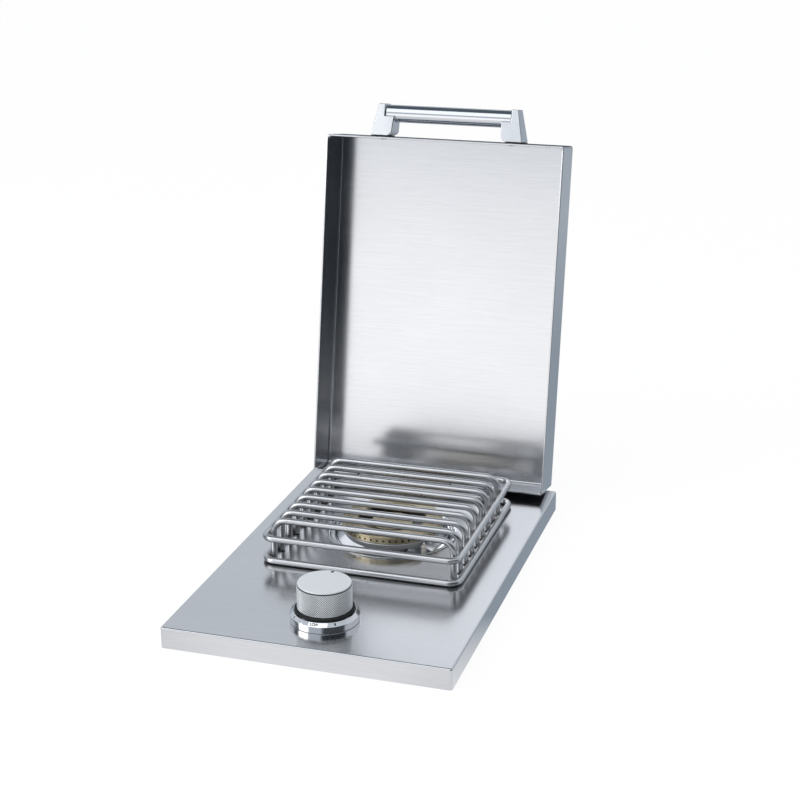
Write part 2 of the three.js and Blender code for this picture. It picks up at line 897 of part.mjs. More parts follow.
// Brass flame ring: ported outer wall, sloped top and a plain inner wall
function flameRing() {
  const facet = 1 / Math.cos(Math.PI / portCount);
  const outer = ringRadius * facet;
  const top = ringBottom + ringHeight;
  const innerTop = top + ringTopRise;
  const innerWall = ringTopInner - ringWall;
  const floor = potFloorHeight + seatGap;
  const ring = revolve([
    [outer - ringWall, ringBottom],
    [outer, ringBottom],
    [outer, top],
    [ringTopInner, innerTop],
    [innerWall, innerTop - ringWall],
    [innerWall, floor],
    [ringTopInner, floor],
    [ringTopInner, innerTop - ringWall],
    [outer - ringWall, top - ringWall],
    [outer - ringWall, ringBottom],
  ], portCount, 0, burnerY);
  const portLevel = ringBottom + ringHeight / 2;
  const inside = ringRadius - ringWall - overrun;
  const outside = outer + overrun;
  const ports = Array.from({ length: portCount }, (unused, index) => {
    const angle = ((index + 0.5) * 2 * Math.PI) / portCount;
    const x = Math.sin(angle);
    const y = Math.cos(angle);
    return bar(
      [x * inside, burnerY + y * inside, portLevel],
      [x * outside, burnerY + y * outside, portLevel],
      portRadius,
      portSides,
    );
  });
  return cut(ring, ...ports);
}
place(plateLevel, 'flame_ring', flameRing(), brass);

// Brass centre cap: a crowned disc on a slotted skirt over the throat
function centreCap() {
  const floor = potFloorHeight + seatGap;
  const edge = capTop - capCrown;
  const cap = revolve([
    [capRadius - capWall, floor],
    [capRadius, floor],
    [capRadius, edge],
    [capRadius - capWall, capTop - capCrown / 2],
    [capRadius / 2, capTop],
    [0, capTop],
    [0, capTop - capThickness],
    [capRadius - capWall, edge - capThickness / 2],
    [capRadius - capWall, floor],
  ], roundSides / 2, 0, burnerY);
  const slotTop = floor + capPortHeight + overrun;
  const slots = Array.from({ length: capPortCount }, (unused, index) => {
    const geometry = new THREE.BoxGeometry(capWall * 3, capPortWidth, capPortHeight);
    geometry.translate(capRadius - capWall / 2, 0, slotTop - capPortHeight / 2);
    geometry.rotateZ((index * 2 * Math.PI) / capPortCount);
    geometry.translate(0, burnerY, 0);
    return toSolid(geometry);
  });
  return cut(cap, ...slots);
}
place(plateLevel, 'centre_cap', centreCap(), brass);

// The level of the bowl's underside at a radius from its centre
function bowlUnderside(radius) {
  const across = (radius - bowlFloorRadius) / (bowlMouthRadius - bowlFloorRadius);
  return seatGap - bowlDepth * Math.sqrt(1 - across * across);
}

// Ignition electrode: a collared insulator and a wire bent to the ports
function electrodeInsulator() {
  const collarTop = bowlUnderside(electrodeRadius - insulatorCollarRadius) - seatGap;
  return revolve([
    [0, insulatorBottom],
    [insulatorRadius, insulatorBottom],
    [insulatorRadius, collarTop - insulatorCollarHeight],
    [insulatorCollarRadius, collarTop - insulatorCollarHeight],
    [insulatorCollarRadius, collarTop],
    [insulatorRadius, collarTop],
    [insulatorRadius, insulatorTop - electrodeWireRadius],
    [insulatorRadius - electrodeWireRadius, insulatorTop],
    [0, insulatorTop],
  ], smallSides, electrodeX, electrodeY);
}
place(plateLevel, 'electrode_insulator', electrodeInsulator(), ceramic);

function electrodeWire() {
  const tipRadius = ringRadius + electrodeTipGap;
  const tipX = tipRadius * Math.cos(electrodeTurn);
  const tipY = burnerY + tipRadius * Math.sin(electrodeTurn);
  const corners = [
    [electrodeX, electrodeY, insulatorTop + seatGap],
    [electrodeX, electrodeY, electrodeTipHeight],
    [tipX, tipY, electrodeTipHeight],
  ];
  return rodAlong(route(corners, electrodeBend, bendSteps), electrodeWireRadius, 6);
}
place(plateLevel, 'electrode_wire', electrodeWire(), chrome);

// Gas valve body: a block with a stepped bore, an inlet and an outlet boss
function gasValveBody() {
  const top = -valveTopDrop - bonnetThickness - seatGap;
  const bottom = top - valveHeight;
  const outlet = -outletLevel;
  const halfX = valveWidth / 2;
  const halfY = valveDepth / 2;
  const corner = valveWidth / 6;
  const outline = [
    [-halfX + corner, -halfY], [halfX - corner, -halfY], [halfX, -halfY + corner],
    [halfX, halfY - corner], [halfX - corner, halfY], [-halfX + corner, halfY],
    [-halfX, halfY - corner], [-halfX, -halfY + corner],
  ].map(([x, y]) => [x, y + knobY]);
  const casting = extrudeUp(outline, bottom, top);
  const outletBoss = bar(
    [0, knobY, outlet],
    [0, knobY + halfY + bossLength, outlet],
    bossRadius,
  );
  const inletBoss = bar([0, knobY, outlet], [halfX + bossLength, knobY, outlet], bossRadius);
  const chamberFloor = -springBottom - plugClearance;
  const chamberTop = [0, knobY, top + overrun];
  const chamber = bar([0, knobY, chamberFloor], chamberTop, springChamberRadius, turnedSides);
  const plugBottom = -springBottom - plugLength;
  const plugBore = bar(
    [0, knobY, plugBottom - plugClearance],
    [0, knobY, chamberFloor + overrun],
    plugBottomRadius + plugClearance * 1.5,
    turnedSides,
    plugTopRadius + plugClearance * 1.5,
  );
  const outletBore = bar(
    [0, knobY + plugBottomRadius, outlet],
    [0, knobY + halfY + bossLength + overrun, outlet],
    portBoreRadius,
  );
  const inletBore = bar(
    [plugBottomRadius, knobY, outlet],
    [halfX + bossLength + overrun, knobY, outlet],
    portBoreRadius,
  );
  const screwHoles = [-1, 1].map((side) => {
    const y = knobY + side * bodyScrewHalfPitch;
    return drill([0, y, top - bodyHoleDepth], [0, y, top + overrun]);
  });
  return cut(join(casting, outletBoss, inletBoss), chamber, plugBore, outletBore, inletBore, ...screwHoles);
}
place(plateLevel, 'gas_valve_body', gasValveBody(), brass);

// Valve bonnet: a strip over the body with a hole for the stem
function valveBonnet() {
  const top = -valveTopDrop;
  const bottom = top - bonnetThickness;
  const half = bonnetWidth / 2;
  const strip = block([-half, knobY - valveDepth / 2, bottom], [half, knobY + valveDepth / 2, top]);
  const stemHole = bar([0, knobY, bottom - overrun], [0, knobY, top + overrun], stemHoleRadius);
  const centres = [-1, 1].flatMap((side) => [
    [side * bonnetScrewHalfPitch, knobY],
    [0, knobY + side * bodyScrewHalfPitch],
  ]);
  const holes = centres.map(([x, y]) => drill([x, y, bottom - overrun], [x, y, top + overrun]));
  return cut(strip, stemHole, ...holes);
}
place(plateLevel, 'valve_bonnet', valveBonnet(), brass);

// Valve bracket: a sheet bridge from the plate down to the bonnet
function valveBracket() {
  const top = -plateSheet - seatGap;
  const bottom = -valveTopDrop + seatGap;
  const foot = bonnetScrewHalfPitch + valveBracketFoot / 2;
  const leg = bonnetScrewHalfPitch - valveBracketFoot / 2;
  const outline = [
    [-foot, bottom],
    [-leg + valveBracketSheet, bottom],
    [-leg + valveBracketSheet, top - valveBracketSheet],
    [leg - valveBracketSheet, top - valveBracketSheet],
    [leg - valveBracketSheet, bottom],
    [foot, bottom],
    [foot, bottom + valveBracketSheet],
    [leg, bottom + valveBracketSheet],
    [leg, top],
    [-leg, top],
    [-leg, bottom + valveBracketSheet],
    [-foot, bottom + valveBracketSheet],
  ];
  const half = valveBracketDepth / 2;
  const bridge = extrudeAlongY(outline, knobY - half, knobY + half);
  const stemHole = bar([0, knobY, bottom], [0, knobY, top + overrun], plateStemHoleRadius, turnedSides);
  const screwHoles = [];
  for (const side of [-1, 1]) {
    const footX = side * bonnetScrewHalfPitch;
    const footTop = bottom + valveBracketSheet + overrun;
    screwHoles.push(drill([footX, knobY, bottom - overrun], [footX, knobY, footTop]));
    const webX = side * valveScrewHalfPitch;
    const webBottom = top - valveBracketSheet - overrun;
    screwHoles.push(drill([webX, knobY, webBottom], [webX, knobY, top + overrun]));
  }
  return cut(bridge, stemHole, ...screwHoles);
}
place(plateLevel, 'valve_bracket', valveBracket(), galvanised);

// Valve plug: a tapered cock with a pocket for the stem's tongue
function valvePlug() {
  const top = -springBottom;
  const bottom = top - plugLength;
  const sides = turnedSides;
  const cone = bar([0, knobY, bottom], [0, knobY, top], plugBottomRadius, sides, plugTopRadius);
  const pocket = block(
    [-tongueWidth / 2 - tongueClearance, knobY - tongueThickness / 2 - tongueClearance, top - plugSlotDepth],
    [tongueWidth / 2 + tongueClearance, knobY + tongueThickness / 2 + tongueClearance, top + overrun],
  );
  const reach = plugTopRadius + overrun;
  const port = bar(
    [-reach, knobY + reach, -outletLevel],
    [reach, knobY - reach, -outletLevel],
    plugPortRadius,
    6,
  );
  return cut(cone, pocket, port);
}
place(plateLevel, 'valve_plug', valvePlug(), brass);

// Stem spring: an open coil between the plug and the stem's collar
function stemSpring() {
  const bottom = -springBottom + seatGap + springWireRadius;
  const top = -springTop - springWireRadius;
  const stepsPerTurn = 8;
  const steps = springTurns * stepsPerTurn;
  const stations = Array.from({ length: steps + 1 }, (unused, step) => {
    const angle = (step * 2 * Math.PI) / stepsPerTurn;
    return new THREE.Vector3(
      springRadius * Math.cos(angle),
      knobY + springRadius * Math.sin(angle),
      bottom + ((top - bottom) * step) / steps,
    );
  });
  return rodAlong(stations, springWireRadius, 5);
}
place(plateLevel, 'stem_spring', stemSpring(), chrome);

// Valve stem: a shaft with a flat, a collar and a tongue in the plug
function dOutline(radius, flat, sides) {
  const edge = radius - flat;
  return Array.from({ length: sides }, (unused, side) => {
    const angle = ((side + 0.5) * 2 * Math.PI) / sides;
    return [radius * Math.cos(angle), knobY + Math.min(radius * Math.sin(angle), edge)];
  });
}

function valveStem() {
  const shaftTop = extrudeUp(dOutline(stemRadius, stemFlat, turnedSides), 0, stemTopHeight);
  const shaft = bar([0, knobY, -stemBottomDrop], [0, knobY, 0], stemRadius, turnedSides);
  const collarFoot = [0, knobY, -collarTop - collarHeight];
  const collar = bar(collarFoot, [0, knobY, -collarTop], collarRadius, turnedSides);
  const tongue = block(
    [-tongueWidth / 2, knobY - tongueThickness / 2, -stemBottomDrop - tongueLength],
    [tongueWidth / 2, knobY + tongueThickness / 2, -stemBottomDrop + overrun],
  );
  return join(shaftTop, shaft, collar, tongue);
}
place(plateLevel, 'valve_stem', valveStem(), chrome);

// Jet nozzle: a shank in the outlet, a hexagon and a tip through the shutter
function jetNozzle() {
  const face = knobY + valveDepth / 2 + bossLength;
  const hexEnd = face + seatGap + jetHexLength;
  const tipEnd = hexEnd + jetTipLength;
  const at = (y) => [0, y, -outletLevel];
  const shank = bar(at(face - jetShankLength), at(face + seatGap + overrun), jetShankRadius);
  const hexagon = bar(at(face + seatGap), at(hexEnd), jetHexRadius, 6);
  const tip = bar(at(hexEnd), at(tipEnd), jetConeRadius, smallSides, jetTipRadius);
  const bore = bar(at(face - jetShankLength - overrun), at(tipEnd + overrun), jetBoreRadius, 6);
  return cut(join(shank, hexagon, tip), bore);
}
place(plateLevel, 'jet_nozzle', jetNozzle(), brass);

// Gas feed pipe: from the valve out to the side, down and back to the inlet
const pipeStartX = valveWidth / 2 + bossLength + seatGap;
const inletLevel = -housingHeight + inletRise;
const inletHexFront = housingHalfLength - housingSheet - seatGap - inletHexLength;
const pipeEndY = inletHexFront - inletInnerLength - seatGap;

function gasFeedPipe() {
  const corners = [
    [pipeStartX, knobY, -outletLevel],
    [pipeSideOffset, knobY, -outletLevel],
    [pipeSideOffset, knobY, inletLevel],
    [pipeSideOffset, pipeEndY, inletLevel],
  ];
  const stations = route(corners, pipeBend, bendSteps);
  const pipe = toSolid(rodAlong(stations, pipeRadius, rodSides));
  const start = [pipeStartX - overrun, knobY, -outletLevel];
  const startBore = bar(start, [pipeStartX + pipeNutLength, knobY, -outletLevel], pipeBore);
  const end = [pipeSideOffset, pipeEndY + overrun, inletLevel];
  const endBore = bar([pipeSideOffset, pipeEndY - pipeNutLength, inletLevel], end, pipeBore);
  return cut(pipe, startBore, endBore);
}
place(plateLevel, 'gas_feed_pipe', gasFeedPipe(), brass);

function pipeNut(start, direction) {
  const along = (distance) => start.map((value, index) => value + direction[index] * distance);
  return cut(
    bar(start, along(pipeNutLength), pipeNutRadius, 6),
    bar(along(-overrun), along(pipeNutLength + overrun), pipeNutBore),
  );
}
place(
  plateLevel,
  'valve_pipe_nut',
  pipeNut([pipeStartX, knobY, -outletLevel], [1, 0, 0]),
  brass,
);
place(
  plateLevel,
  'inlet_pipe_nut',
  pipeNut([pipeSideOffset, pipeEndY, inletLevel], [0, -1, 0]),
  brass,
);

// Inlet fitting through the rear wall, and its locknut outside
function inletFitting() {
  const rear = housingHalfLength;
  const along = (y) => [pipeSideOffset, y, inletLevel];
  const hexBack = inletHexFront + inletHexLength;
  const innerEnd = along(inletHexFront + overrun);
  const inner = bar(along(pipeEndY + seatGap), innerEnd, inletInnerRadius, turnedSides);
  const hexagon = bar(along(inletHexFront), along(hexBack), inletHexRadius, 6);
  const outer = bar(along(hexBack - overrun), along(rear + inletOuterLength), inletBodyRadius, turnedSides);
  const bore = bar(along(pipeEndY - overrun), along(rear + inletOuterLength + overrun), inletBore);
  return cut(join(inner, hexagon, outer), bore);
}
place(plateLevel, 'inlet_fitting', inletFitting(), brass);

function inletLocknut() {
  const start = housingHalfLength + seatGap;
  const along = (y) => [pipeSideOffset, y, inletLevel];
  return cut(
    bar(along(start), along(start + locknutHeight), locknutRadius, 6),
    bar(along(start - overrun), along(start + locknutHeight + overrun), inletHoleRadius, turnedSides),
  );
}
place(plateLevel, 'inlet_locknut', inletLocknut(), brass);

// Igniter module beside the valve, with a terminal at its back
const moduleRight = -valveWidth / 2 - moduleGap;
const moduleCentreX = moduleRight - moduleWidth / 2;
const moduleBack = knobY + moduleDepth / 2;
const moduleCentreLevel = -moduleTopDrop - moduleHeight / 2;

function igniterModule() {
  const halfX = moduleWidth / 2;
  const halfZ = moduleHeight / 2;
  const outline = cornerSigns.flatMap(([sideX, sideZ, from]) => arcPoints(
    moduleCentreX + sideX * (halfX - moduleCorner),
    moduleCentreLevel + sideZ * (halfZ - moduleCorner),
    moduleCorner,
    from,
    from + cornerDegrees,
    bendSteps,
  ));
  const box = extrudeAlongY(outline, moduleBack - moduleDepth, moduleBack);
  const terminalEnd = moduleBack + terminalLength;
  return join(box, bar(
    [moduleCentreX, moduleBack - overrun, moduleCentreLevel],
    [moduleCentreX, terminalEnd, moduleCentreLevel],
    terminalRadius,
  ));
}
place(plateLevel, 'igniter_module', igniterModule(), blackPlastic);

// Ignition lead: back from the module, under the mixing tube, up to the electrode
function ignitionLead() {
  const start = moduleBack + terminalLength + seatGap;
  const crossing = knobY + leadRunFromKnob;
  const corners = [
    [moduleCentreX, start, moduleCentreLevel],
    [moduleCentreX, crossing, moduleCentreLevel],
    [moduleCentreX, crossing, -leadLevel],
    [electrodeX, crossing, -leadLevel],
    [electrodeX, electrodeY, -leadLevel],
    [electrodeX, electrodeY, insulatorBottom - seatGap],
  ];
  return rodAlong(route(corners, leadBend, bendSteps), leadRadius, leadSides);
}
place(plateLevel, 'ignition_lead', ignitionLead(), whiteLead);

// Knob: a hollow body on a central boss, with a pale cap and a black skirt
function knobBody() {
  const bossBottom = knobHubBottom;
  const ceiling = knobTop - knobShell;
  const body = revolve([
    [knobBossRadius, bossBottom],
    [knobBossRadius, ceiling],
    [knobHubRadius - knobShell, ceiling],
    [knobHubRadius - knobShell, knobHubBottom],
    [knobHubRadius, knobHubBottom],
    [knobHubRadius, knobBottom],
    [knobRadius, knobBottom],
    [knobRadius, knobTop - knobChamfer],
    [knobRadius - knobChamfer, knobTop],
    [0, knobTop],
    [0, bossBottom],
    [knobBossRadius, bossBottom],
  ], roundSides, 0, knobY);
  const shaftHole = dOutline(stemRadius + plugClearance, stemFlat, turnedSides);
  const notch = pointerNotch(knobTop - pointerDepth + knobCapThickness);
  return cut(body, extrudeUp(shaftHole, bossBottom - overrun, stemTopHeight + seatGap), notch);
}

// The notch at the back edge of the knob for the pointer
function pointerNotch(bottom) {
  const half = pointerWidth / 2 + seatGap;
  const start = knobY + knobRadius - pointerLength - seatGap;
  return block([-half, start, bottom], [half, knobY + knobRadius + overrun, knobTop + pointerDepth]);
}
place(plateLevel, 'knob_body', knobBody(), aluminium);

function knobCap() {
  const bottom = knobTop + seatGap;
  const top = bottom + knobCapThickness;
  const edge = knobCapThickness / 2;
  const disc = revolve([
    [0, bottom],
    [knobCapRadius, bottom],
    [knobCapRadius, top - edge],
    [knobCapRadius - edge, top],
    [0, top],
  ], roundSides, 0, knobY);
  return cut(disc, pointerNotch(knobTop));
}
place(plateLevel, 'knob_cap', knobCap(), paleAluminium);

function knobSkirt() {
  const top = skirtBottom + skirtHeight;
  const bore = knobHubRadius + seatGap * 2;
  return revolve([
    [bore, skirtBottom],
    [skirtRadius, skirtBottom],
    [skirtRadius, skirtBottom + skirtHeight / 2],
    [skirtTopRadius, top],
    [bore, top],
    [bore, skirtBottom],
  ], roundSides, 0, knobY);
}
place(plateLevel, 'knob_skirt', knobSkirt(), blackRubber);

function knobPointer() {
  const half = pointerWidth / 2;
  const bottom = knobTop - pointerDepth + knobCapThickness + seatGap;
  const start = knobY + knobRadius - pointerLength;
  const end = knobY + knobRadius - seatGap;
  return block([-half, start, bottom], [half, end, knobTop + seatGap + knobCapThickness]);
}
place(plateLevel, 'knob_pointer', knobPointer(), blackPlastic);

// Bezel: a chromed ring with a straight wall and a sloped top
function bezelRing() {
  return revolve([
    [bezelBore, seatGap],
    [bezelRadius, seatGap],
    [bezelRadius, bezelWallHeight - bezelEdge],
    [bezelRadius - bezelEdge, bezelWallHeight],
    [bezelBore + bezelTopLand, bezelTopHeight],
    [bezelBore, bezelTopHeight],
    [bezelBore, seatGap],
  ], roundSides, 0, knobY);
}
place(plateLevel, 'bezel_ring', bezelRing(), chrome);

// Grate frames: round rod bent to a rounded rectangle
function grateFrame(level) {
  const half = grateWidth / 2;
  const corners = [
    [half, grateFrontY, level],
    [half, grateFrontY + grateLength, level],
    [-half, grateFrontY + grateLength, level],
    [-half, grateFrontY, level],
  ];
  return frameAlong(route(corners, grateCornerRadius, bendSteps, true), grateRodRadius, rodSides);
}
place(plateLevel, 'grate_lower_frame', grateFrame(grateRodRadius + seatGap), polishedSteel);
place(plateLevel, 'grate_upper_frame', grateFrame(upperFrameLevel), polishedSteel);

// Grate rods: each bent down at both ends, its legs inside the two frames
function grateRod(y) {
  const leg = grateWidth / 2 - 2 * grateRodRadius - seatGap;
  const top = grateHeight - grateRodRadius;
  const corners = [
    [-leg, y, rodFootGap],
    [-leg, y, top],
    [leg, y, top],
    [leg, y, rodFootGap],
  ];
  return rodAlong(route(corners, rodBend, bendSteps), grateRodRadius, rodSides);
}
const rodPitch = (grateLength - firstRodInset - lastRodInset) / (rodCount - 1);
for (let index = 0; index < rodCount; index += 1) {
  const y = grateFrontY + firstRodInset + index * rodPitch;
  place(plateLevel, `grate_rod_${index + 1}`, grateRod(y), polishedSteel);
}

// Lid, drawn closed about the hinge axis: Y runs back and Z up
function lidShell() {
  const rim = -rimDrop;
  const skin = rim + lidDepth;
  const inner = lidBendRadius - lidSheet;
  const bendLevel = skin - lidBendRadius;
  const hemInset = 2 * lidSheet;
  const section = [
    ...arcPoints(lidBendRadius, bendLevel, inner, 90, 180, bendSteps),
    [lidSheet, rim + lidHem],
    [hemInset, rim + lidHem],
    [hemInset, rim],
    [0, rim],
    ...arcPoints(lidBendRadius, bendLevel, lidBendRadius, 180, 90, bendSteps),
  ];
  const centred = tray(lidWidth / 2, lidLength / 2, lidCornerRadius, section);
  let shell = centred.translate([0, -lidLength / 2, 0]);
  for (const side of [-1, 1]) {
    const hingeX = side * hingeSideOffset;
    const notchHalf = hingeLength / 2 + pinHeadLength + notchClearance * 2;
    const notchTop = knuckleRadius + notchClearance;
    shell = cut(shell, block(
      [hingeX - notchHalf, -hemInset - overrun, rim - overrun],
      [hingeX + notchHalf, overrun, notchTop],
    ));
    for (const end of [-1, 1]) {
      const rivetX = hingeX + end * rivetHalfPitch;
      const rivetHole = (y) => [rivetX, y, rivetHeight];
      const handleX = side * handleScrewX();
      const handleZ = handleLevel - rimDrop + end * handleScrewHalfPitch;
      const handleHole = (y) => [handleX, y, handleZ];
      shell = cut(
        shell,
        drill(rivetHole(-hemInset - overrun), rivetHole(overrun)),
        drill(handleHole(-lidLength - overrun), handleHole(hemInset + overrun - lidLength)),
      );
    }
  }
  return shell;
}

function handleScrewX() {
  return handleBaseSpan / 2 - handleScrewInset;
}
place(lidGroup, 'lid_shell', lidShell(), brushedSteel);

// Hinge leaf on the lid: two knuckles joined by a plate inside the rear wall
function lidHingeLeaf(hingeX) {
  const half = hingeLength / 2;
  const inner = fixedKnuckleLength / 2 + knuckleGap;
  const front = -lidSheet - seatGap - leafSheet;
  const back = -lidSheet - seatGap;
  const plateBottom = knuckleRadius + notchClearance;
  let leaf = block([hingeX - half, front, plateBottom], [hingeX + half, back, lidLeafHeight]);
  for (const side of [-1, 1]) {
    const near = hingeX + side * inner;
    const far = hingeX + side * half;
    const low = Math.min(near, far);
    const high = Math.max(near, far);
    leaf = join(
      leaf,
      block([low, front, 0], [high, back, plateBottom + overrun]),
      bar([low, 0, 0], [high, 0, 0], knuckleRadius, turnedSides),
    );
  }
  const reach = half + overrun;
  const bore = bar([hingeX - reach, 0, 0], [hingeX + reach, 0, 0], knuckleBore);
  const rivets = [-1, 1].map((end) => {
    const x = hingeX + end * rivetHalfPitch;
    return drill([x, front - overrun, rivetHeight], [x, back + overrun / 4, rivetHeight]);
  });
  return cut(leaf, bore, ...rivets);
}

// Hinge leaf on the plate: one knuckle on a web behind the axis
function plateHingeLeaf(hingeX) {
  const half = hingeLength / 2;
  const bottom = seatGap;
  const top = bottom + leafSheet;
  const webFront = hingeY + knuckleRadius - webThickness;
  const knuckleHalf = fixedKnuckleLength / 2;
  const plate = block([hingeX - half, webFront, bottom], [hingeX + half, hingeY + plateLeafReach, top]);
  const web = block(
    [hingeX - knuckleHalf, webFront, bottom],
    [hingeX + knuckleHalf, hingeY + knuckleRadius, hingeHeight],
  );
  const knuckle = bar(
    [hingeX - knuckleHalf, hingeY, hingeHeight],
    [hingeX + knuckleHalf, hingeY, hingeHeight],
    knuckleRadius,
    turnedSides,
  );
  const reach = half + overrun;
  const bore = bar(
    [hingeX - reach, hingeY, hingeHeight],
    [hingeX + reach, hingeY, hingeHeight],
    knuckleBore,
  );
  const screws = [-1, 1].map((end) => {
    const x = hingeX + end * leafScrewHalfPitch;
    const y = hingeY + leafScrewReach;
    return drill([x, y, 0], [x, y, top + overrun]);
  });
  return cut(join(plate, web, knuckle), bore, ...screws);
}

function hingePin(hingeX) {
  const half = hingeLength / 2 + seatGap;
  const end = half + pinHeadLength;
  const at = (x) => [hingeX + x, hingeY, hingeHeight];
  const shaft = bar(at(-end), at(end), pinRadius);
  const heads = [-1, 1].map((side) => bar(at(side * half), at(side * end), pinHeadRadius));
  return join(shaft, ...heads);
}

for (const [side, word] of [[-1, 'left'], [1, 'right']]) {
  const hingeX = side * hingeSideOffset;
  place(lidGroup, `lid_hinge_leaf_${word}`, lidHingeLeaf(hingeX), polishedSteel);
  place(plateLevel, `plate_hinge_leaf_${word}`, plateHingeLeaf(hingeX), polishedSteel);
  place(plateLevel, `hinge_pin_${word}`, hingePin(hingeX), chrome);
}

// Handle, drawn with X along the bar, Y out from the wall and Z across it
const handleGroup = new THREE.Group();
handleGroup.position.set(0, -lidLength, handleLevel - rimDrop);
handleGroup.rotation.x = Math.PI;
lidGroup.add(handleGroup);
const padTop = seatGap + handlePadThickness;
const bracketBase = padTop + seatGap;

function handleBracket(side) {
  const outerBase = handleBaseSpan / 2;
  const outerTop = handleTopSpan / 2;
  const earInner = outerTop - earWidth;
  const ledgeInner = earInner - ledgeWidth;
  const heelX = outerBase - bracketBaseWidth + bracketHeelRun;
  const outline = [
    [outerBase, bracketBase],
    [outerTop, handleRise],
    [earInner, handleRise],
    [earInner, ledgeHeight],
    [ledgeInner, ledgeHeight],
    ...arcPoints(
      heelX + bracketHeelRadius - bracketHeelRun,
      bracketBase + bracketHeelRadius,
      bracketHeelRadius,
      180,
      270,
      bendSteps,
    ),
  ].map(([x, y]) => new THREE.Vector2(side * x, y));
  const front = new THREE.ExtrudeGeometry(new THREE.Shape(outline), {
    depth: bracketBaseDepth,
    bevelEnabled: false,
  });
  front.translate(0, 0, -bracketBaseDepth / 2);
  const sideOutline = [
    [bracketBase - overrun, -bracketBaseDepth / 2],
    [ledgeHeight, -bracketTopDepth / 2 - overrun],
    [handleRise + overrun, -bracketTopDepth / 2],
    [handleRise + overrun, bracketTopDepth / 2],
    [ledgeHeight, bracketTopDepth / 2 + overrun],
    [bracketBase - overrun, bracketBaseDepth / 2],
  ];
  const inside = ledgeInner - bracketBaseWidth;
  const taper = extrudeAlongX(
    sideOutline,
    side > 0 ? inside : -outerBase - overrun,
    side > 0 ? outerBase + overrun : -inside,
  );
  const seat = bar(
    [side * inside, barHeight, 0],
    [side * earInner, barHeight, 0],
    barRadius + seatGap * 1.5,
    turnedSides,
  );
  const screwHoles = [-1, 1].map((end) => {
    const x = side * handleScrewX();
    const z = end * handleScrewHalfPitch;
    return drill([x, 0, z], [x, bracketBase + handleScrewDepth, z]);
  });
  return cut(toSolid(front).intersect(taper), seat, ...screwHoles);
}

function handlePad(side) {
  const outer = side * (handleBaseSpan / 2);
  const inner = side * (handleBaseSpan / 2 - bracketBaseWidth + bracketHeelRun);
  const half = bracketBaseDepth / 2;
  const pad = block(
    [Math.min(outer, inner), seatGap, -half],
    [Math.max(outer, inner), padTop, half],
  );
  const holes = [-1, 1].map((end) => {
    const x = side * handleScrewX();
    const z = end * handleScrewHalfPitch;
    return drill([x, 0, z], [x, padTop + overrun, z]);
  });
  return cut(pad, ...holes);
}

const barHalf = handleTopSpan / 2 - earWidth - seatGap;
place(
  handleGroup,
  'handle_bar',
  bar([-barHalf, barHeight, 0], [barHalf, barHeight, 0], barRadius, turnedSides),
  polishedSteel,
);

// A rubber stop behind the hinge that carries the open lid
function lidStopPad(side) {
  const slope = Math.tan(lidLean);
  const rest = (reach) => hingeHeight - reach * slope - seatGap / Math.cos(lidLean);
  const outline = [
    [hingeY + stopStart, seatGap],
    [hingeY + stopEnd, seatGap],
    [hingeY + stopEnd, rest(stopEnd)],
    [hingeY + stopStart, rest(stopStart)],
  ];
  const x = side * stopSideOffset;
  return extrudeAlongX(outline, x - stopWidth / 2, x + stopWidth / 2);
}

for (const [side, word] of [[-1, 'left'], [1, 'right']]) {
  place(handleGroup, `handle_bracket_${word}`, handleBracket(side), paleAluminium);
  place(handleGroup, `handle_pad_${word}`, handlePad(side), blackRubber);
  place(plateLevel, `lid_stop_pad_${word}`, lidStopPad(side), blackRubber);
}

export default sideBurner;
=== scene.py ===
import json
import math

import bmesh
import bpy
from bpy.props import FloatProperty, FloatVectorProperty, IntProperty, PointerProperty
from mathutils import Matrix, Vector


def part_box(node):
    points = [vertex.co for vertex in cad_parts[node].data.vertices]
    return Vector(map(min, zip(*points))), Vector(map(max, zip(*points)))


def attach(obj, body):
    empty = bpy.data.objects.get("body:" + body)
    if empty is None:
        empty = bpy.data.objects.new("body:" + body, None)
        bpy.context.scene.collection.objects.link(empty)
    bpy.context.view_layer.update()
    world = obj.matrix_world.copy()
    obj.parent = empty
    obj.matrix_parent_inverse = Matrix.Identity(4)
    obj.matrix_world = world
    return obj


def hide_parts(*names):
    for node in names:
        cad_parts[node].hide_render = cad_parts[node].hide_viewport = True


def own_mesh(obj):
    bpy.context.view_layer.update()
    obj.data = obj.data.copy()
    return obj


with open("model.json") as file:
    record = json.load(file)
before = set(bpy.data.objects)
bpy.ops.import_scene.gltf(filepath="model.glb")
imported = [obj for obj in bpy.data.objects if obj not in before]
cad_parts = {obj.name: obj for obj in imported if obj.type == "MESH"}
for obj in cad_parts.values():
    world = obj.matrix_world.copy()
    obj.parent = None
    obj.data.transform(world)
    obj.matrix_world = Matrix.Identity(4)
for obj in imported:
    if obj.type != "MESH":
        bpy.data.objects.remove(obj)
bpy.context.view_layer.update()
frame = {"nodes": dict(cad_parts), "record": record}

bl_info = {
    "name": "Built in side burner",
    "version": (1, 0, 0),
    "blender": (4, 5, 0),
    "location": "3D Viewport > Sidebar > Side Burner",
    "description": "Dresses a drop-in gas side burner with an open lid on its packed CAD frame",
    "category": "Object",
}

MM = 0.001
FULL_TURN = 2 * math.pi
HALF_TURN = math.pi
QUARTER_TURN = math.pi / 2
ORIGIN = Vector((0, 0, 0))
UP = Vector((0, 0, 1))
FOUR_WAYS = ((-1, -1), (-1, 1), (1, -1), (1, 1))


# Places read from the frame

def low(node):
    return Vector(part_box(node)[0])


def high(node):
    return Vector(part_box(node)[1])


def middle(node):
    return (low(node) + high(node)) / 2


def width(node):
    return high(node).x - low(node).x


def beside(place, x, y, z):
    """A place that lies so many millimetres from another."""
    return (place.x + x * MM, place.y + y * MM, place.z + z * MM)


def at_level(place, level):
    return Vector((place.x, place.y, level))


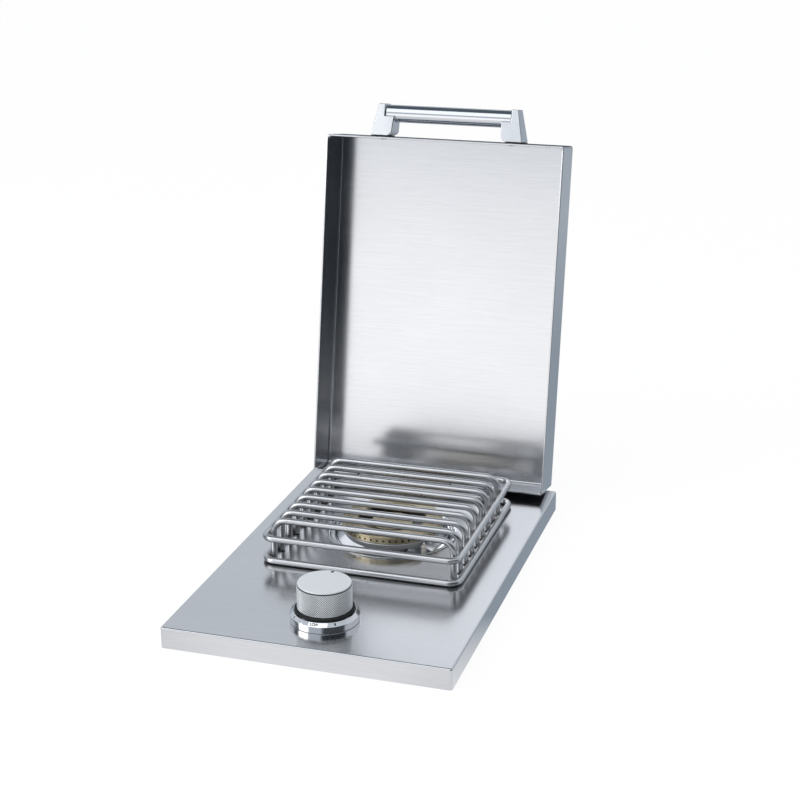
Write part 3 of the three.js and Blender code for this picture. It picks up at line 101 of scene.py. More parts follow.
PLATE_TOP = high("top_plate").z
BURNER = Vector((0, middle("flame_ring").y, PLATE_TOP))
KNOB = Vector((0, middle("knob_body").y, PLATE_TOP))
HINGE = Vector((0, middle("hinge_pin_left").y, middle("hinge_pin_left").z))
HINGE_SIDE = abs(middle("hinge_pin_left").x)
SEAT_GAP = 0.3 * MM
SAME_LEVEL = 0.02 * MM


# Sizes and colours that a user would change

def length(name, description, millimetres):
    return FloatProperty(
        name=name, description=description, default=millimetres * MM, min=0, unit="LENGTH")


def colour(name, description, default):
    return FloatVectorProperty(
        name=name, description=description, default=default, size=3, min=0, max=1, subtype="COLOR")


class SheetSizes(bpy.types.PropertyGroup):
    plate_sheet: length("Plate sheet", "Thickness of the top plate", 1.2)
    plate_bend: length("Plate bend", "Outer radius of the plate's folded edges", 1.9)
    plate_corner: length("Plate corner", "Radius of the plate's upright corners", 3)
    plate_flange: length("Plate flange", "Width of the flange turned in below the plate", 8.5)
    lid_sheet: length("Lid sheet", "Thickness of the lid", 1)
    lid_bend: length("Lid bend", "Outer radius of the lid's folded edges", 3)
    lid_corner: length("Lid corner", "Radius of the lid's upright corners", 3.2)
    lid_hem: length("Lid hem", "Height of the hem folded back at the lid's rim", 7)
    lid_depth: length("Lid depth", "Height of the lid over all", 53.4)
    lid_length: length("Lid length", "Length of the lid from rear wall to front wall", 401.25)
    lid_width: length("Lid width", "Width of the lid over all", 281.7)
    rim_drop: length("Rim drop", "How far the lid's rim lies below the hinge axis", 5.8)
    open_angle: FloatProperty(
        name="Open angle", description="How far the lid stands open",
        default=math.radians(99.72), unit="ROTATION")


class BurnerSizes(bpy.types.PropertyGroup):
    bowl_rim: length("Bowl rim", "Radius of the drip bowl's rim", 73.4)
    bowl_mouth: length("Bowl mouth", "Radius of the drip bowl's mouth", 70.4)
    bowl_floor: length("Bowl floor", "Radius where the bowl's floor begins to rise", 45)
    bowl_depth: length("Bowl depth", "Depth of the drip bowl", 19)
    bowl_hole: length("Bowl hole", "Radius of the hole round the burner's neck", 20)
    bowl_sheet: length("Bowl sheet", "Thickness of the drip bowl", 0.9)
    ring_radius: length("Flame ring", "Radius of the brass flame ring", 56.3)
    ring_slope: length("Ring slope end", "Radius where the ring's sloped top ends", 40)
    port_radius: length("Port radius", "Radius of each drilled flame port", 1.3)
    port_count: IntProperty(
        name="Ports", description="Number of flame ports round the ring", default=50, min=3)
    cap_radius: length("Centre cap", "Radius of the brass centre cap", 24)


class GrateSizes(bpy.types.PropertyGroup):
    rod_radius: length("Rod radius", "Radius of the grate's round rods", 3.5)
    rod_bend: length("Rod bend", "Bend radius of the cross rods", 14)
    frame_corner: length("Frame corner", "Corner radius of the two grate frames", 12)
    rod_count: IntProperty(name="Cross rods", description="Number of cross rods", default=9, min=2)


class KnobSizes(bpy.types.PropertyGroup):
    knurl_pitch: length("Knurl pitch", "Width of one diamond of the knurl", 2.3)
    knurl_height: length("Knurl height", "Height of each diamond's tip", 0.55)
    cap_radius: length("Cap radius", "Radius of the pale disc on the knob", 27)
    letter_size: length("Letter size", "Height of the letters on the bezel", 3.1)


class HandleSizes(bpy.types.PropertyGroup):
    bar_radius: length("Bar radius", "Radius of the handle bar", 10)
    bar_height: length("Bar height", "Distance from the lid's wall to the bar's axis", 27)
    level: length("Handle level", "Height over the hinge axis while the lid is closed", 19.2)
    base_span: length("Base span", "Distance over both brackets at the lid", 180)
    top_span: length("Top span", "Distance over both brackets at their ears", 166)
    rise: length("Rise", "Height of the brackets from the lid's wall", 38)


class FinishColours(bpy.types.PropertyGroup):
    steel: colour("Brushed steel", "Top plate and lid", (0.715, 0.718, 0.735))
    polished: colour("Polished steel", "Handle bar and bright screws", (0.72, 0.73, 0.75))
    rods: colour("Grate rods", "Satin round bars of the grate", (0.70, 0.70, 0.71))
    chrome: colour("Chrome", "Bezel, bowl, pot and handle brackets", (0.80, 0.81, 0.83))
    zinc: colour("Zinc coat", "Housing and inner sheet parts", (0.42, 0.44, 0.46))
    brass: colour("Brass", "Flame ring, centre cap and fittings", (0.66, 0.565, 0.38))
    aluminium: colour("Aluminium", "Rivets and cast parts", (0.66, 0.67, 0.69))
    knob_cap: colour("Knob", "Knurled knob and the pale disc on it", (0.92, 0.96, 1.0))
    rubber: colour("Rubber", "Pads, the ring under the knob and print", (0.012, 0.013, 0.015))
    plastic: colour("Plastic", "Igniter module and knob pointer", (0.020, 0.021, 0.024))
    ceramic: colour("Ceramic", "Electrode's insulator and pale sleeves", (0.80, 0.78, 0.72))


class StudioSettings(bpy.types.PropertyGroup):
    lens: FloatProperty(
        name="Lens", description="Focal length of the camera", default=77.35, unit="CAMERA")
    overhead_power: FloatProperty(
        name="Overhead lamp", description="Power of the soft lamp above", default=6.2,
        unit="POWER")
    side_power: FloatProperty(
        name="Side lamp", description="Power of the soft lamp on the left", default=16,
        unit="POWER")
    room_light: FloatProperty(
        name="Room light", description="Strength of the light from all round", default=0.62)


# Tools for pieces

def deselect():
    bpy.ops.object.select_all(action="DESELECT")


def only(piece):
    """Leaves one piece selected and active."""
    deselect()
    piece.select_set(True)
    bpy.context.view_layer.objects.active = piece


def fresh(name):
    """Names the primitive that was just added and puts its place into its mesh."""
    piece = bpy.context.active_object
    piece.name = name
    piece.data.name = name
    only(piece)
    bpy.ops.object.transform_apply(location=True, rotation=True, scale=True)
    return piece


def enter(piece, kind="VERT"):
    only(piece)
    bpy.ops.object.mode_set(mode="EDIT")
    bpy.ops.mesh.select_mode(type=kind)


def leave():
    bpy.ops.object.mode_set(mode="OBJECT")


def pick_all():
    bpy.ops.mesh.select_all(action="SELECT")


def pick(piece, kind, test):
    """Selects the edges or faces that pass a test. The piece is in edit mode."""
    bpy.ops.mesh.select_mode(type=kind)
    bpy.ops.mesh.select_all(action="DESELECT")
    shape = bmesh.from_edit_mesh(piece.data)
    for part in shape.edges if kind == "EDGE" else shape.faces:
        part.select_set(test(part))
    bmesh.update_edit_mesh(piece.data)


def pick_edges(piece, test):
    """Selects the edges whose ends pass the test."""
    pick(piece, "EDGE", lambda edge: test(edge.verts[0].co, edge.verts[1].co))


def pick_faces(piece, test):
    """Selects the faces whose centre and normal pass the test."""
    pick(piece, "FACE", lambda face: test(face.calc_center_median(), face.normal))


def pick_level(piece, level):
    """Selects the edges that lie at a level."""
    pick_edges(piece, lambda a, b: max(abs(a.z - level), abs(b.z - level)) < SAME_LEVEL)


def close_seams(gap=0.004 * MM):
    """Merges doubles and turns the faces outward. The piece is in edit mode."""
    pick_all()
    bpy.ops.mesh.remove_doubles(threshold=gap)
    bpy.ops.mesh.normals_make_consistent(inside=False)


def draw_on(step):
    bpy.ops.mesh.extrude_region_move(TRANSFORM_OT_translate={"value": tuple(step)})


def widen(share_x, share_y, centre):
    bpy.ops.transform.resize(value=(share_x, share_y, 1), center_override=centre)


def draw_line(name, points):
    """A point drawn out along a row of places. The piece stays in edit mode."""
    deselect()
    bpy.ops.mesh.primitive_plane_add(size=MM, location=points[0])
    piece = fresh(name)
    enter(piece)
    pick_all()
    bpy.ops.mesh.merge(type="CENTER")
    for before, after in zip(points, points[1:]):
        draw_on(Vector(after) - Vector(before))
    return piece


def spun(name, points, centre, steps):
    """A line spun about an upright axis. The piece stays in edit mode."""
    piece = draw_line(name, points)
    pick_all()
    bpy.ops.mesh.spin(steps=steps, angle=FULL_TURN, center=centre, axis=UP)
    close_seams()
    return piece


def turned(name, profile, centre, steps):
    """A turned piece, its profile in millimetres out from a centre and up from it."""
    piece = spun(name, [beside(centre, out, 0, up) for out, up in profile], centre, steps)
    leave()
    return piece


def arc(centre_u, centre_v, radius, start, end, steps):
    """Points of an arc, its angles in degrees."""
    spread = [math.radians(start + (end - start) * step / steps) for step in range(steps + 1)]
    return [(centre_u + radius * math.cos(a), centre_v + radius * math.sin(a)) for a in spread]


def use_modifier(piece, kind, **settings):
    only(piece)
    modifier = piece.modifiers.new(kind.title(), kind)
    for key, value in settings.items():
        setattr(modifier, key, value)
    bpy.ops.object.modifier_apply(modifier=modifier.name)


def thicken(piece, sheet):
    """Gives a skin the thickness of its sheet, on the inside."""
    use_modifier(piece, "SOLIDIFY", thickness=sheet, offset=-1, use_even_offset=True)


def soften(piece, size, segments=2, angle=32):
    """Rounds the piece's sharp edges."""
    use_modifier(
        piece, "BEVEL", width=size, segments=segments, limit_method="ANGLE",
        angle_limit=math.radians(angle), harden_normals=False)


def smooth(piece, angle):
    only(piece)
    bpy.ops.object.shade_smooth_by_angle(angle=math.radians(angle))
    use_modifier(piece, "WEIGHTED_NORMAL", keep_sharp=True)


def cut(piece, tool, operation="DIFFERENCE"):
    """Cuts the piece with a tool, which is used up."""
    use_modifier(piece, "BOOLEAN", object=tool, operation=operation, solver="EXACT")
    bpy.data.objects.remove(tool)


def drill(piece, place, start, end, radius, sides):
    """Drills an upright hole from one height over a place to another, both in millimetres."""
    cut(piece, rod_between(
        "drill", beside(place, 0, 0, start), beside(place, 0, 0, end), radius, sides))


def joined(name, parts):
    """Several loose parts made one piece."""
    deselect()
    for part in parts:
        part.select_set(True)
    bpy.context.view_layer.objects.active = parts[0]
    bpy.ops.object.join()
    parts[0].name = name
    return parts[0]


def copied(piece, name, matrix):
    """A copy with its own mesh, moved by a matrix."""
    twin = piece.copy()
    twin.data = piece.data.copy()
    twin.name = name
    bpy.context.collection.objects.link(twin)
    twin.data.transform(matrix)
    if matrix.determinant() < 0:
        twin.data.flip_normals()
    return twin


def stand(piece, matrix):
    piece.data.transform(matrix)
    piece.data.update()


def rod_between(name, start, end, radius, sides):
    """A round bar between two places."""
    run = Vector(end) - Vector(start)
    deselect()
    bpy.ops.mesh.primitive_cylinder_add(
        vertices=sides, radius=radius, depth=run.length,
        location=(Vector(start) + Vector(end)) / 2,
        rotation=run.to_track_quat("Z", "Y").to_euler())
    return fresh(name)


def box_between(name, corner, opposite):
    corner, opposite = Vector(corner), Vector(opposite)
    deselect()
    bpy.ops.mesh.primitive_cube_add(
        size=1, location=(corner + opposite) / 2, scale=opposite - corner)
    return fresh(name)


def bent_rod(name, path, bend, radius, steps):
    """A round rod along a path with square corners, which it goes round in bends."""
    path = [Vector(place) for place in path]
    runs = [after - before for before, after in zip(path, path[1:])]
    headings = [run.normalized() for run in runs]
    deselect()
    bpy.ops.mesh.primitive_circle_add(
        vertices=28, radius=radius, location=path[0],
        rotation=headings[0].to_track_quat("Z", "Y").to_euler())
    piece = fresh(name)
    enter(piece, "EDGE")
    pick_all()
    for index, (run, heading) in enumerate(zip(runs, headings)):
        is_last = index == len(runs) - 1
        draw_on(run - heading * bend * ((index > 0) + (not is_last)))
        if not is_last:
            turn = headings[index + 1]
            bpy.ops.mesh.spin(
                steps=steps, angle=-QUARTER_TURN, axis=heading.cross(turn),
                center=path[index + 1] + (turn - heading) * bend)
    close_seams()
    if path[0] != path[-1]:
        bpy.ops.mesh.fill_holes(sides=0)
        close_seams()
    leave()
    return piece


def folded_tray(name, lowest, highest, corner, bend, flange):
    """A tray's skin, open below, with a flange turned in. It stays in edit mode."""
    piece = box_between(name, lowest, highest)
    half = (highest - lowest) / 2
    enter(piece)
    pick_faces(piece, lambda place, normal: normal.z < -0.5)
    bpy.ops.mesh.delete(type="FACE")
    pick_edges(piece, lambda a, b: abs(a.z - b.z) > MM)
    bpy.ops.mesh.bevel(offset=corner, segments=5, affect="EDGES")
    pick_level(piece, highest.z)
    bpy.ops.mesh.bevel(offset=bend, segments=6, affect="EDGES")
    pick_level(piece, lowest.z)
    draw_on((0, 0, 0))
    widen(1 - flange / half.x, 1 - flange / half.y, lowest + half)
    return piece


def wear(piece, body, slot, *nodes, look=None, angle=None):
    """Shades a finished piece, gives it its look and body, and hides the nodes it stands for."""
    if angle:
        smooth(piece, angle)
    piece.data.materials.clear()
    piece.data.materials.append(finish(look or slot))
    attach(piece, body)
    if nodes:
        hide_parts(*nodes)
    piece.select_set(False)


# Materials

class Nodes:
    """A node tree and short ways to build in it."""

    def __init__(self, tree):
        self.tree = tree

    def add(self, kind, *values, named=None, **settings):
        """A node with its settings. Its inputs are fed in order or by name."""
        node = self.tree.nodes.new("ShaderNode" + kind)
        for key, value in settings.items():
            setattr(node, key, value)
        for label, value in [*enumerate(values), *(named or {}).items()]:
            if isinstance(value, bpy.types.NodeSocket):
                self.join(value, node.inputs[label])
            else:
                node.inputs[label].default_value = value
        return node

    def join(self, source, target):
        self.tree.links.new(source, target)

    def coordinates(self, kind="Object"):
        return self.add("TexCoord").outputs[kind]

    def math(self, operation, *values):
        return self.add("Math", *values, operation=operation).outputs[0]

    def times(self, first, second):
        return self.math("MULTIPLY", first, second)

    def split(self, vector):
        return self.add("SeparateXYZ", vector).outputs

    def noise(self, vector, scale, detail, roughness=0.5):
        return self.add("TexNoise", named={
            "Vector": vector, "Scale": scale, "Detail": detail, "Roughness": roughness,
        }).outputs["Fac"]

    def span(self, value, start, end, lowest=0, highest=1):
        """Maps a range of values to another, and holds it at the ends."""
        return self.add("MapRange", named={
            "Value": value, "From Min": start, "From Max": end, "To Min": lowest,
            "To Max": highest}).outputs["Result"]

    def blend(self, factor, first, second):
        return self.add("Mix", named={"Factor": factor, "A": first, "B": second},
                        data_type="RGBA").outputs["Result"]

    def choose(self, factor, first, second):
        """Mixes two shaders."""
        return self.add("MixShader", factor, first, second).outputs[0]


class Recipe(Nodes):
    """One material and its nodes."""

    def __init__(self, name, metallic=0):
        self.material = bpy.data.materials.new(name)
        self.material.use_nodes = True
        super().__init__(self.material.node_tree)
        self.shader = self.tree.nodes["Principled BSDF"]
        self.shader.inputs["Metallic"].default_value = metallic

    def group(self, name, **values):
        """The outputs of a shared group, which works in the object's own coordinates."""
        return self.add("Group", named={"Place": self.coordinates(), **values},
                        node_tree=bpy.data.node_groups[name]).outputs

    def paint(self, factor, first, second):
        self.join(self.blend(factor, first, second), self.shader.inputs["Base Color"])

    def gloss(self, value, roughness, spread):
        self.join(self.span(value, 0.3, 0.7, roughness - spread, roughness + spread),
                  self.shader.inputs["Roughness"])

    def bump(self, height, strength):
        node = self.add("Bump", named={
            "Height": height, "Strength": strength, "Distance": 0.02 * MM})
        self.join(node.outputs["Normal"], self.shader.inputs["Normal"])


class GroupMaker(Nodes):
    """A shader node group with named inputs and outputs. An input without a value is a vector."""

    def __init__(self, name, outputs, **inputs):
        super().__init__(bpy.data.node_groups.new(name, "ShaderNodeTree"))
        for label, value in inputs.items():
            kind = "NodeSocketVector" if value is None else "NodeSocketFloat"
            socket = self.tree.interface.new_socket(label, in_out="INPUT", socket_type=kind)
            if value is not None:
                socket.default_value = value
        for label in outputs:
            self.tree.interface.new_socket(label, in_out="OUTPUT", socket_type="NodeSocketFloat")
        self.inputs = self.tree.nodes.new("NodeGroupInput").outputs
        self.outputs = self.tree.nodes.new("NodeGroupOutput").inputs


def add_brushed_grain():
    """Fine streaks along X, turned upright on faces that look along X."""
    made = GroupMaker("brushed grain", ("Grain", "Streak"),
                      Place=None, Facing=None, Across=1900.0, Along=45.0)
    place = made.split(made.inputs["Place"])
    facing = made.split(made.inputs["Facing"])
    across = made.inputs["Across"]
    sideways = made.math("GREATER_THAN", made.math("ABSOLUTE", facing["X"]), 0.7)
    level = made.math("SUBTRACT", 1, sideways)
    along = made.math("ADD", made.times(place["X"], level), made.times(place["Z"], sideways))
    vector = made.add(
        "CombineXYZ", made.times(along, made.inputs["Along"]), made.times(across, place["Y"]),
        made.times(across, made.times(place["Z"], level))).outputs[0]
    made.join(made.noise(vector, 1, 3, 0.6), made.outputs["Grain"])
    made.join(made.noise(vector, 0.3, 2), made.outputs["Streak"])


def add_handling_marks():
    """Broad faint clouds and fine specks, as handling leaves on metal."""
    made = GroupMaker("handling marks", ("Cloud", "Speck"), Place=None, Broad=12.0, Fine=900.0)
    made.join(made.noise(made.inputs["Place"], made.inputs["Broad"], 3), made.outputs["Cloud"])
    made.join(made.noise(made.inputs["Place"], made.inputs["Fine"], 2), made.outputs["Speck"])


def add_turning_lines():
    """Fine rings left by a lathe about an upright axis, and the reach from that axis."""
    made = GroupMaker("turning lines", ("Rings", "Reach"),
                      Place=None, Centre=None, Fineness=1500.0)
    offset = made.split(made.add(
        "VectorMath", made.inputs["Place"], made.inputs["Centre"], operation="SUBTRACT",
    ).outputs[0])
    squares = [made.times(offset[axis], offset[axis]) for axis in "XY"]
    reach = made.math("SQRT", made.math("ADD", *squares))
    made.join(reach, made.outputs["Reach"])
    vector = made.add("CombineXYZ", made.times(reach, made.inputs["Fineness"]),
                      made.times(offset["Z"], made.inputs["Fineness"])).outputs[0]
    made.join(made.noise(vector, 1, 2), made.outputs["Rings"])


def tinted(tone, share=1):
    """A tone made darker or lighter."""
    return (*(channel * share for channel in tone), 1)


def make_brushed(name, tone, roughness):
    """Brushed sheet: streaks in colour, gloss and relief."""
    recipe = Recipe(name, metallic=1)
    grain = recipe.group("brushed grain", Facing=recipe.coordinates("Normal"))
    marks = recipe.group("handling marks", Broad=9.0)
    fine = recipe.span(grain["Grain"], 0.3, 0.7, 0, 0.75)
    broad = recipe.span(grain["Streak"], 0.3, 0.7, 0, 0.25)
    recipe.paint(recipe.math("ADD", fine, broad), tinted(tone, 0.93), tinted(tone, 1.05))
    halves = [recipe.times(value, 0.5) for value in (marks["Cloud"], grain["Grain"])]
    recipe.gloss(recipe.math("ADD", *halves), roughness, 0.03)
    recipe.bump(grain["Grain"], 0.26)
    return recipe.material


def make_metal(name, tone, roughness, fine=900.0, bump=0.05):
    """Plain metal: clouds in its gloss and colour and a fine tooth."""
    recipe = Recipe(name, metallic=1)
    marks = recipe.group("handling marks", Broad=30.0, Fine=fine)
    recipe.paint(marks["Cloud"], tinted(tone, 0.93), tinted(tone))
    recipe.gloss(marks["Cloud"], roughness, roughness * 0.3)
    recipe.bump(marks["Speck"], bump)
    return recipe.material


def make_rod(name, tone):
    """Satin rods, with painted shade darkening their underside."""
    recipe = Recipe(name, metallic=1)
    marks = recipe.group("handling marks", Broad=45.0)
    # Painted shade: faces that look down are darkened to a quarter of the tone.
    outside_painted_shade = recipe.span(recipe.split(recipe.coordinates("Normal"))["Z"], -0.65, 0.05)
    metal = recipe.blend(marks["Cloud"], tinted(tone, 0.9), tinted(tone))
    recipe.paint(outside_painted_shade, tinted(tone, 0.25), metal)
    recipe.gloss(marks["Cloud"], 0.3, 0.05)
    recipe.bump(marks["Speck"], 0.12)
    return recipe.material


def make_turned(name, tone, roughness, centre, metallic, tint=0.85, hollow_shade=None):
    """Turned metal: fine rings about its axis, and painted shade within a reach and below a height.
    """
    recipe = Recipe(name, metallic)
    rings = recipe.group("turning lines", Centre=tuple(centre))
    marks = recipe.group("handling marks", Broad=40.0)
    metal = recipe.blend(marks["Cloud"], tinted(tone, tint), tinted(tone))
    # Painted shade: inside the ring's outer skin and below a height, the hollow and its port bores
    # are darkened nearly to black.
    if hollow_shade:
        within, below = hollow_shade
        hollow_shade_mask = recipe.times(
            recipe.span(rings["Reach"], within - 0.1 * MM, within, 1, 0),
            recipe.span(recipe.split(recipe.coordinates())["Z"], below - 0.2 * MM, below, 1, 0))
        metal = recipe.blend(hollow_shade_mask, metal, tinted(tone, 0.06))
    recipe.join(metal, recipe.shader.inputs["Base Color"])
    recipe.gloss(rings["Rings"], roughness, 0.06)
    recipe.bump(rings["Rings"], 0.2)
    return recipe.material


def make_knurled(name, tone):
    """Knurled metal: painted shade in the valleys between its diamonds and a painted highlight on
    their tips.
    """
    recipe = Recipe(name, metallic=0.5)
    reach = recipe.group("turning lines", Centre=tuple(KNOB))["Reach"]
    marks = recipe.group("handling marks", Broad=120.0)
    tip = width("knob_body") / 2
    depth = bpy.context.scene.burner_knob.knurl_height
    # Painted shade in the valleys, down to a tenth of the tone, and a painted highlight on the
    # tips, above the tone.
    recipe.paint(recipe.span(reach, tip - depth, tip - depth * 0.45),
                 tinted(tone, 0.08), tinted(tone, 1.3))
    recipe.gloss(marks["Cloud"], 0.34, 0.05)
    recipe.bump(marks["Speck"], 0.05)
    return recipe.material


def make_dull(name, tone, roughness, bump=0.3):
    """Rubber, plastic, ceramic or a sleeve: specks in its colour and relief."""
    recipe = Recipe(name)
    marks = recipe.group("handling marks", Broad=60.0, Fine=2200.0)
    recipe.paint(marks["Speck"], tinted(tone, 0.8), tinted(tone))
    recipe.gloss(marks["Cloud"], roughness, 0.08)
    recipe.bump(marks["Speck"], bump)
    return recipe.material


def make_finishes():
    """Every look by its name: the slots' own, then those that only some pieces wear."""
    tones = bpy.context.scene.burner_finishes
    add_brushed_grain()
    add_handling_marks()
    add_turning_lines()
    # The drilled brass gets painted shade in its hollow and port bores.
    hollow_shade_reach = bpy.context.scene.burner_sizes.ring_radius - 0.4 * MM
    hollow_shade_top = PLATE_TOP + 15.6 * MM
    return {
        "brushed_steel": make_brushed("brushed steel", tones.steel, 0.19),
        "polished_steel": make_metal("polished steel", tones.polished, 0.12),
        "chrome": make_metal("chrome", tones.chrome, 0.05, bump=0.01),
        "zinc_steel": make_metal("zinc coat", tones.zinc, 0.42, fine=350.0, bump=0.3),
        "brass": make_metal("brass fittings", tones.brass, 0.32, bump=0.1),
        "aluminium": make_metal("aluminium", tones.aluminium, 0.25),
        "pale_aluminium": make_metal("satin aluminium", tones.chrome, 0.3, bump=0.1),
        "black_rubber": make_dull("black rubber", tones.rubber, 0.6),
        "black_plastic": make_dull("black plastic", tones.plastic, 0.45),
        "white_ceramic": make_dull("white ceramic", tones.ceramic, 0.22, bump=0.05),
        "white_sleeve": make_dull("white sleeve", tones.ceramic, 0.5),
        "mirror_steel": make_metal("mirror steel", tones.chrome, 0.07, bump=0.02),
        "rod_steel": make_rod("satin rod steel", tones.rods),
        "ring_brass": make_turned("turned brass", tones.brass, 0.24, BURNER, 0.75),
        "port_brass": make_turned("drilled brass", tones.brass, 0.24, BURNER, 0.75,
                                  hollow_shade=(hollow_shade_reach, hollow_shade_top)),
        "pot_aluminium": make_turned("turned aluminium", tones.chrome, 0.16, BURNER, 0.5),
        "knurled_aluminium": make_knurled("knurled aluminium", tones.knob_cap),
        "knob_cap": make_turned("knob cap", tones.knob_cap, 0.36, KNOB, 0.2, tint=0.97),
        "dark_print": make_dull("dark print", tones.rubber, 0.5, bump=0.05),
    }


FINISHES = {}


def finish(name):
    if not FINISHES:
        FINISHES.update(make_finishes())
    return FINISHES[name]


# Lid frame: the closed lid's axes, X to the right, Y back and Z up from the hinge axis

def lid_matrix():
    angle = bpy.context.scene.burner_sheets.open_angle
    return Matrix.Translation(HINGE) @ Matrix.Rotation(-angle, 4, "X")


def handle_matrix():
    """The handle's axes: X to the right, Y out of the lid's front wall and Z down."""
    scene = bpy.context.scene
    front = Matrix.Translation((0, -scene.burner_sheets.lid_length, scene.burner_handle.level))
    return lid_matrix() @ front @ Matrix.Rotation(HALF_TURN, 4, "X")


# The room that metal reflects: its brightness by height, in front and behind

FRONT_HEIGHTS = (
    (0.0, 0.95), (0.45, 1.38), (0.51, 1.42), (0.55, 1.30), (0.59, 0.75), (0.64, 0.6),
    (0.71, 0.7), (1.0, 0.7))
BACK_HEIGHTS = ((0.0, 0.5), (0.43, 0.45), (0.50, 0.5), (0.60, 0.68), (0.72, 0.76), (1.0, 0.6))

# Its dark screens: aim, cosines where one begins and is full, shade, height where it fades

ROOM_SCREENS = (
    ((0.74, -0.66, 0.08), 0.67, 0.743, 0.03, 0.55),
    ((-0.988, -0.156, 0.05), 0.857, 0.891, 0.05, 0.5),
    ((-0.15, 0.98, -0.10), 0.955, 0.985, 0.05, 0.17),
    ((0.766, 0.643, 0.0), 0.975, 0.985, 0.06, 0.17),
    ((-0.26, 0.30, 0.92), 0.83, 0.885, 0.15, 2),
)
SCREEN_FADE = 0.12


def grey(shade):
    """A cool grey, the cooler the darker it is."""
    depth = min(1, max(0, 1 - shade))
    return (shade * (0.985 - 0.42 * depth), shade * (0.99 - 0.22 * depth), shade, 1)


def shade_ramp(nodes, value, stops):
    ramp = nodes.add("ValToRGB", value)
    for position, _ in stops[1:-1]:
        ramp.color_ramp.elements.new(position)
    for element, (position, shade) in zip(ramp.color_ramp.elements, stops):
        element.position = position
        element.color = grey(shade)
    return ramp.outputs["Color"]


def room_shades(nodes, direction):
    """The colour that the room shows in a direction."""
    parts = nodes.split(direction)
    height = nodes.span(parts["Z"], -1, 1)
    result = nodes.blend(
        nodes.span(parts["Y"], -0.15, 0.15),
        shade_ramp(nodes, height, FRONT_HEIGHTS), shade_ramp(nodes, height, BACK_HEIGHTS))
    for aim, start, end, shade, top in ROOM_SCREENS:
        facing = nodes.add(
            "VectorMath", direction, Vector(aim).normalized(), operation="DOT_PRODUCT")
        inside = nodes.times(nodes.span(facing.outputs["Value"], start, end),
                             nodes.span(parts["Z"], top, top + SCREEN_FADE, 1, 0))
        result = nodes.blend(inside, result, grey(shade))
    return result


# Operators

class BURNER_OT_top_plate(bpy.types.Operator):
    """Fold the top plate and cut its holes"""
    bl_idname = "burner.top_plate"
    bl_label = "Top plate"

    def execute(self, context):
        sizes = context.scene.burner_sheets
        lowest, highest = low("top_plate"), high("top_plate")
        piece = folded_tray("plate_folded_sheet", lowest, highest, sizes.plate_corner,
                            sizes.plate_bend, sizes.plate_flange)
        close_seams()
        leave()
        thicken(piece, sizes.plate_sheet)
        bowl_hole = context.scene.burner_sizes.bowl_mouth + SEAT_GAP
        stem_hole = 5.6 * MM
        below, above = -5, 1
        for place, radius, sides in ((BURNER, bowl_hole, 128), (KNOB, stem_hole, 32)):
            drill(piece, place, below, above, radius, sides)
        relief = 0.75 * MM
        outside, inside = -1.4 * MM, 4 * MM
        half = (highest - lowest) / 2
        for x, y in FOUR_WAYS:
            corner = Vector((x * half.x, lowest.y + half.y + y * half.y, PLATE_TOP))
            inward = Vector((-x, -y, -1)).normalized()
            cut(piece, rod_between(
                "corner relief", corner + outside * inward, corner + inside * inward, relief, 16))
        wear(piece, "base", "brushed_steel", "top_plate", angle=32)
        return {"FINISHED"}


class BURNER_OT_drip_bowl(bpy.types.Operator):
    """Spin the drip bowl and drill it for the electrode"""
    bl_idname = "burner.drip_bowl"
    bl_label = "Drip bowl"

    def execute(self, context):
        sizes = context.scene.burner_sizes
        hole, floor, mouth, depth, sheet = (value / MM for value in (
            sizes.bowl_hole, sizes.bowl_floor, sizes.bowl_mouth, sizes.bowl_depth,
            sizes.bowl_sheet))
        rim_top = SEAT_GAP / MM + sheet
        floor_top = rim_top - depth
        electrode_hole = 3.5 * MM
        steps = 18
        angles = [QUARTER_TURN * step / steps for step in range(1, steps + 1)]

        def side(offset):
            return [(floor + (mouth - floor - offset) * math.cos(angle),
                     rim_top - depth * math.sin(angle) - offset * (1 - math.sin(angle)))
                    for angle in angles]

        lower = [(radius, level - sheet) for radius, level in reversed(side(0))]
        profile = [
            (hole, floor_top - sheet), *lower, (mouth, rim_top - sheet),
            *arc(sizes.bowl_rim / MM - sheet / 2, rim_top - sheet / 2, sheet / 2, -90, 90, 6),
            (mouth + sheet, rim_top), (mouth, rim_top - sheet * 0.12),
            (mouth - sheet * 0.7, rim_top - sheet * 0.45), *side(sheet), (hole, floor_top),
            (hole, floor_top - sheet)]
        piece = turned("bowl_spun_dish", profile, BURNER, 128)
        drill(piece, at_level(middle("electrode_insulator"), PLATE_TOP), floor_top - 2, rim_top,
              electrode_hole, 24)
        wear(piece, "base", "polished_steel", "drip_bowl", look="mirror_steel", angle=40)
        return {"FINISHED"}


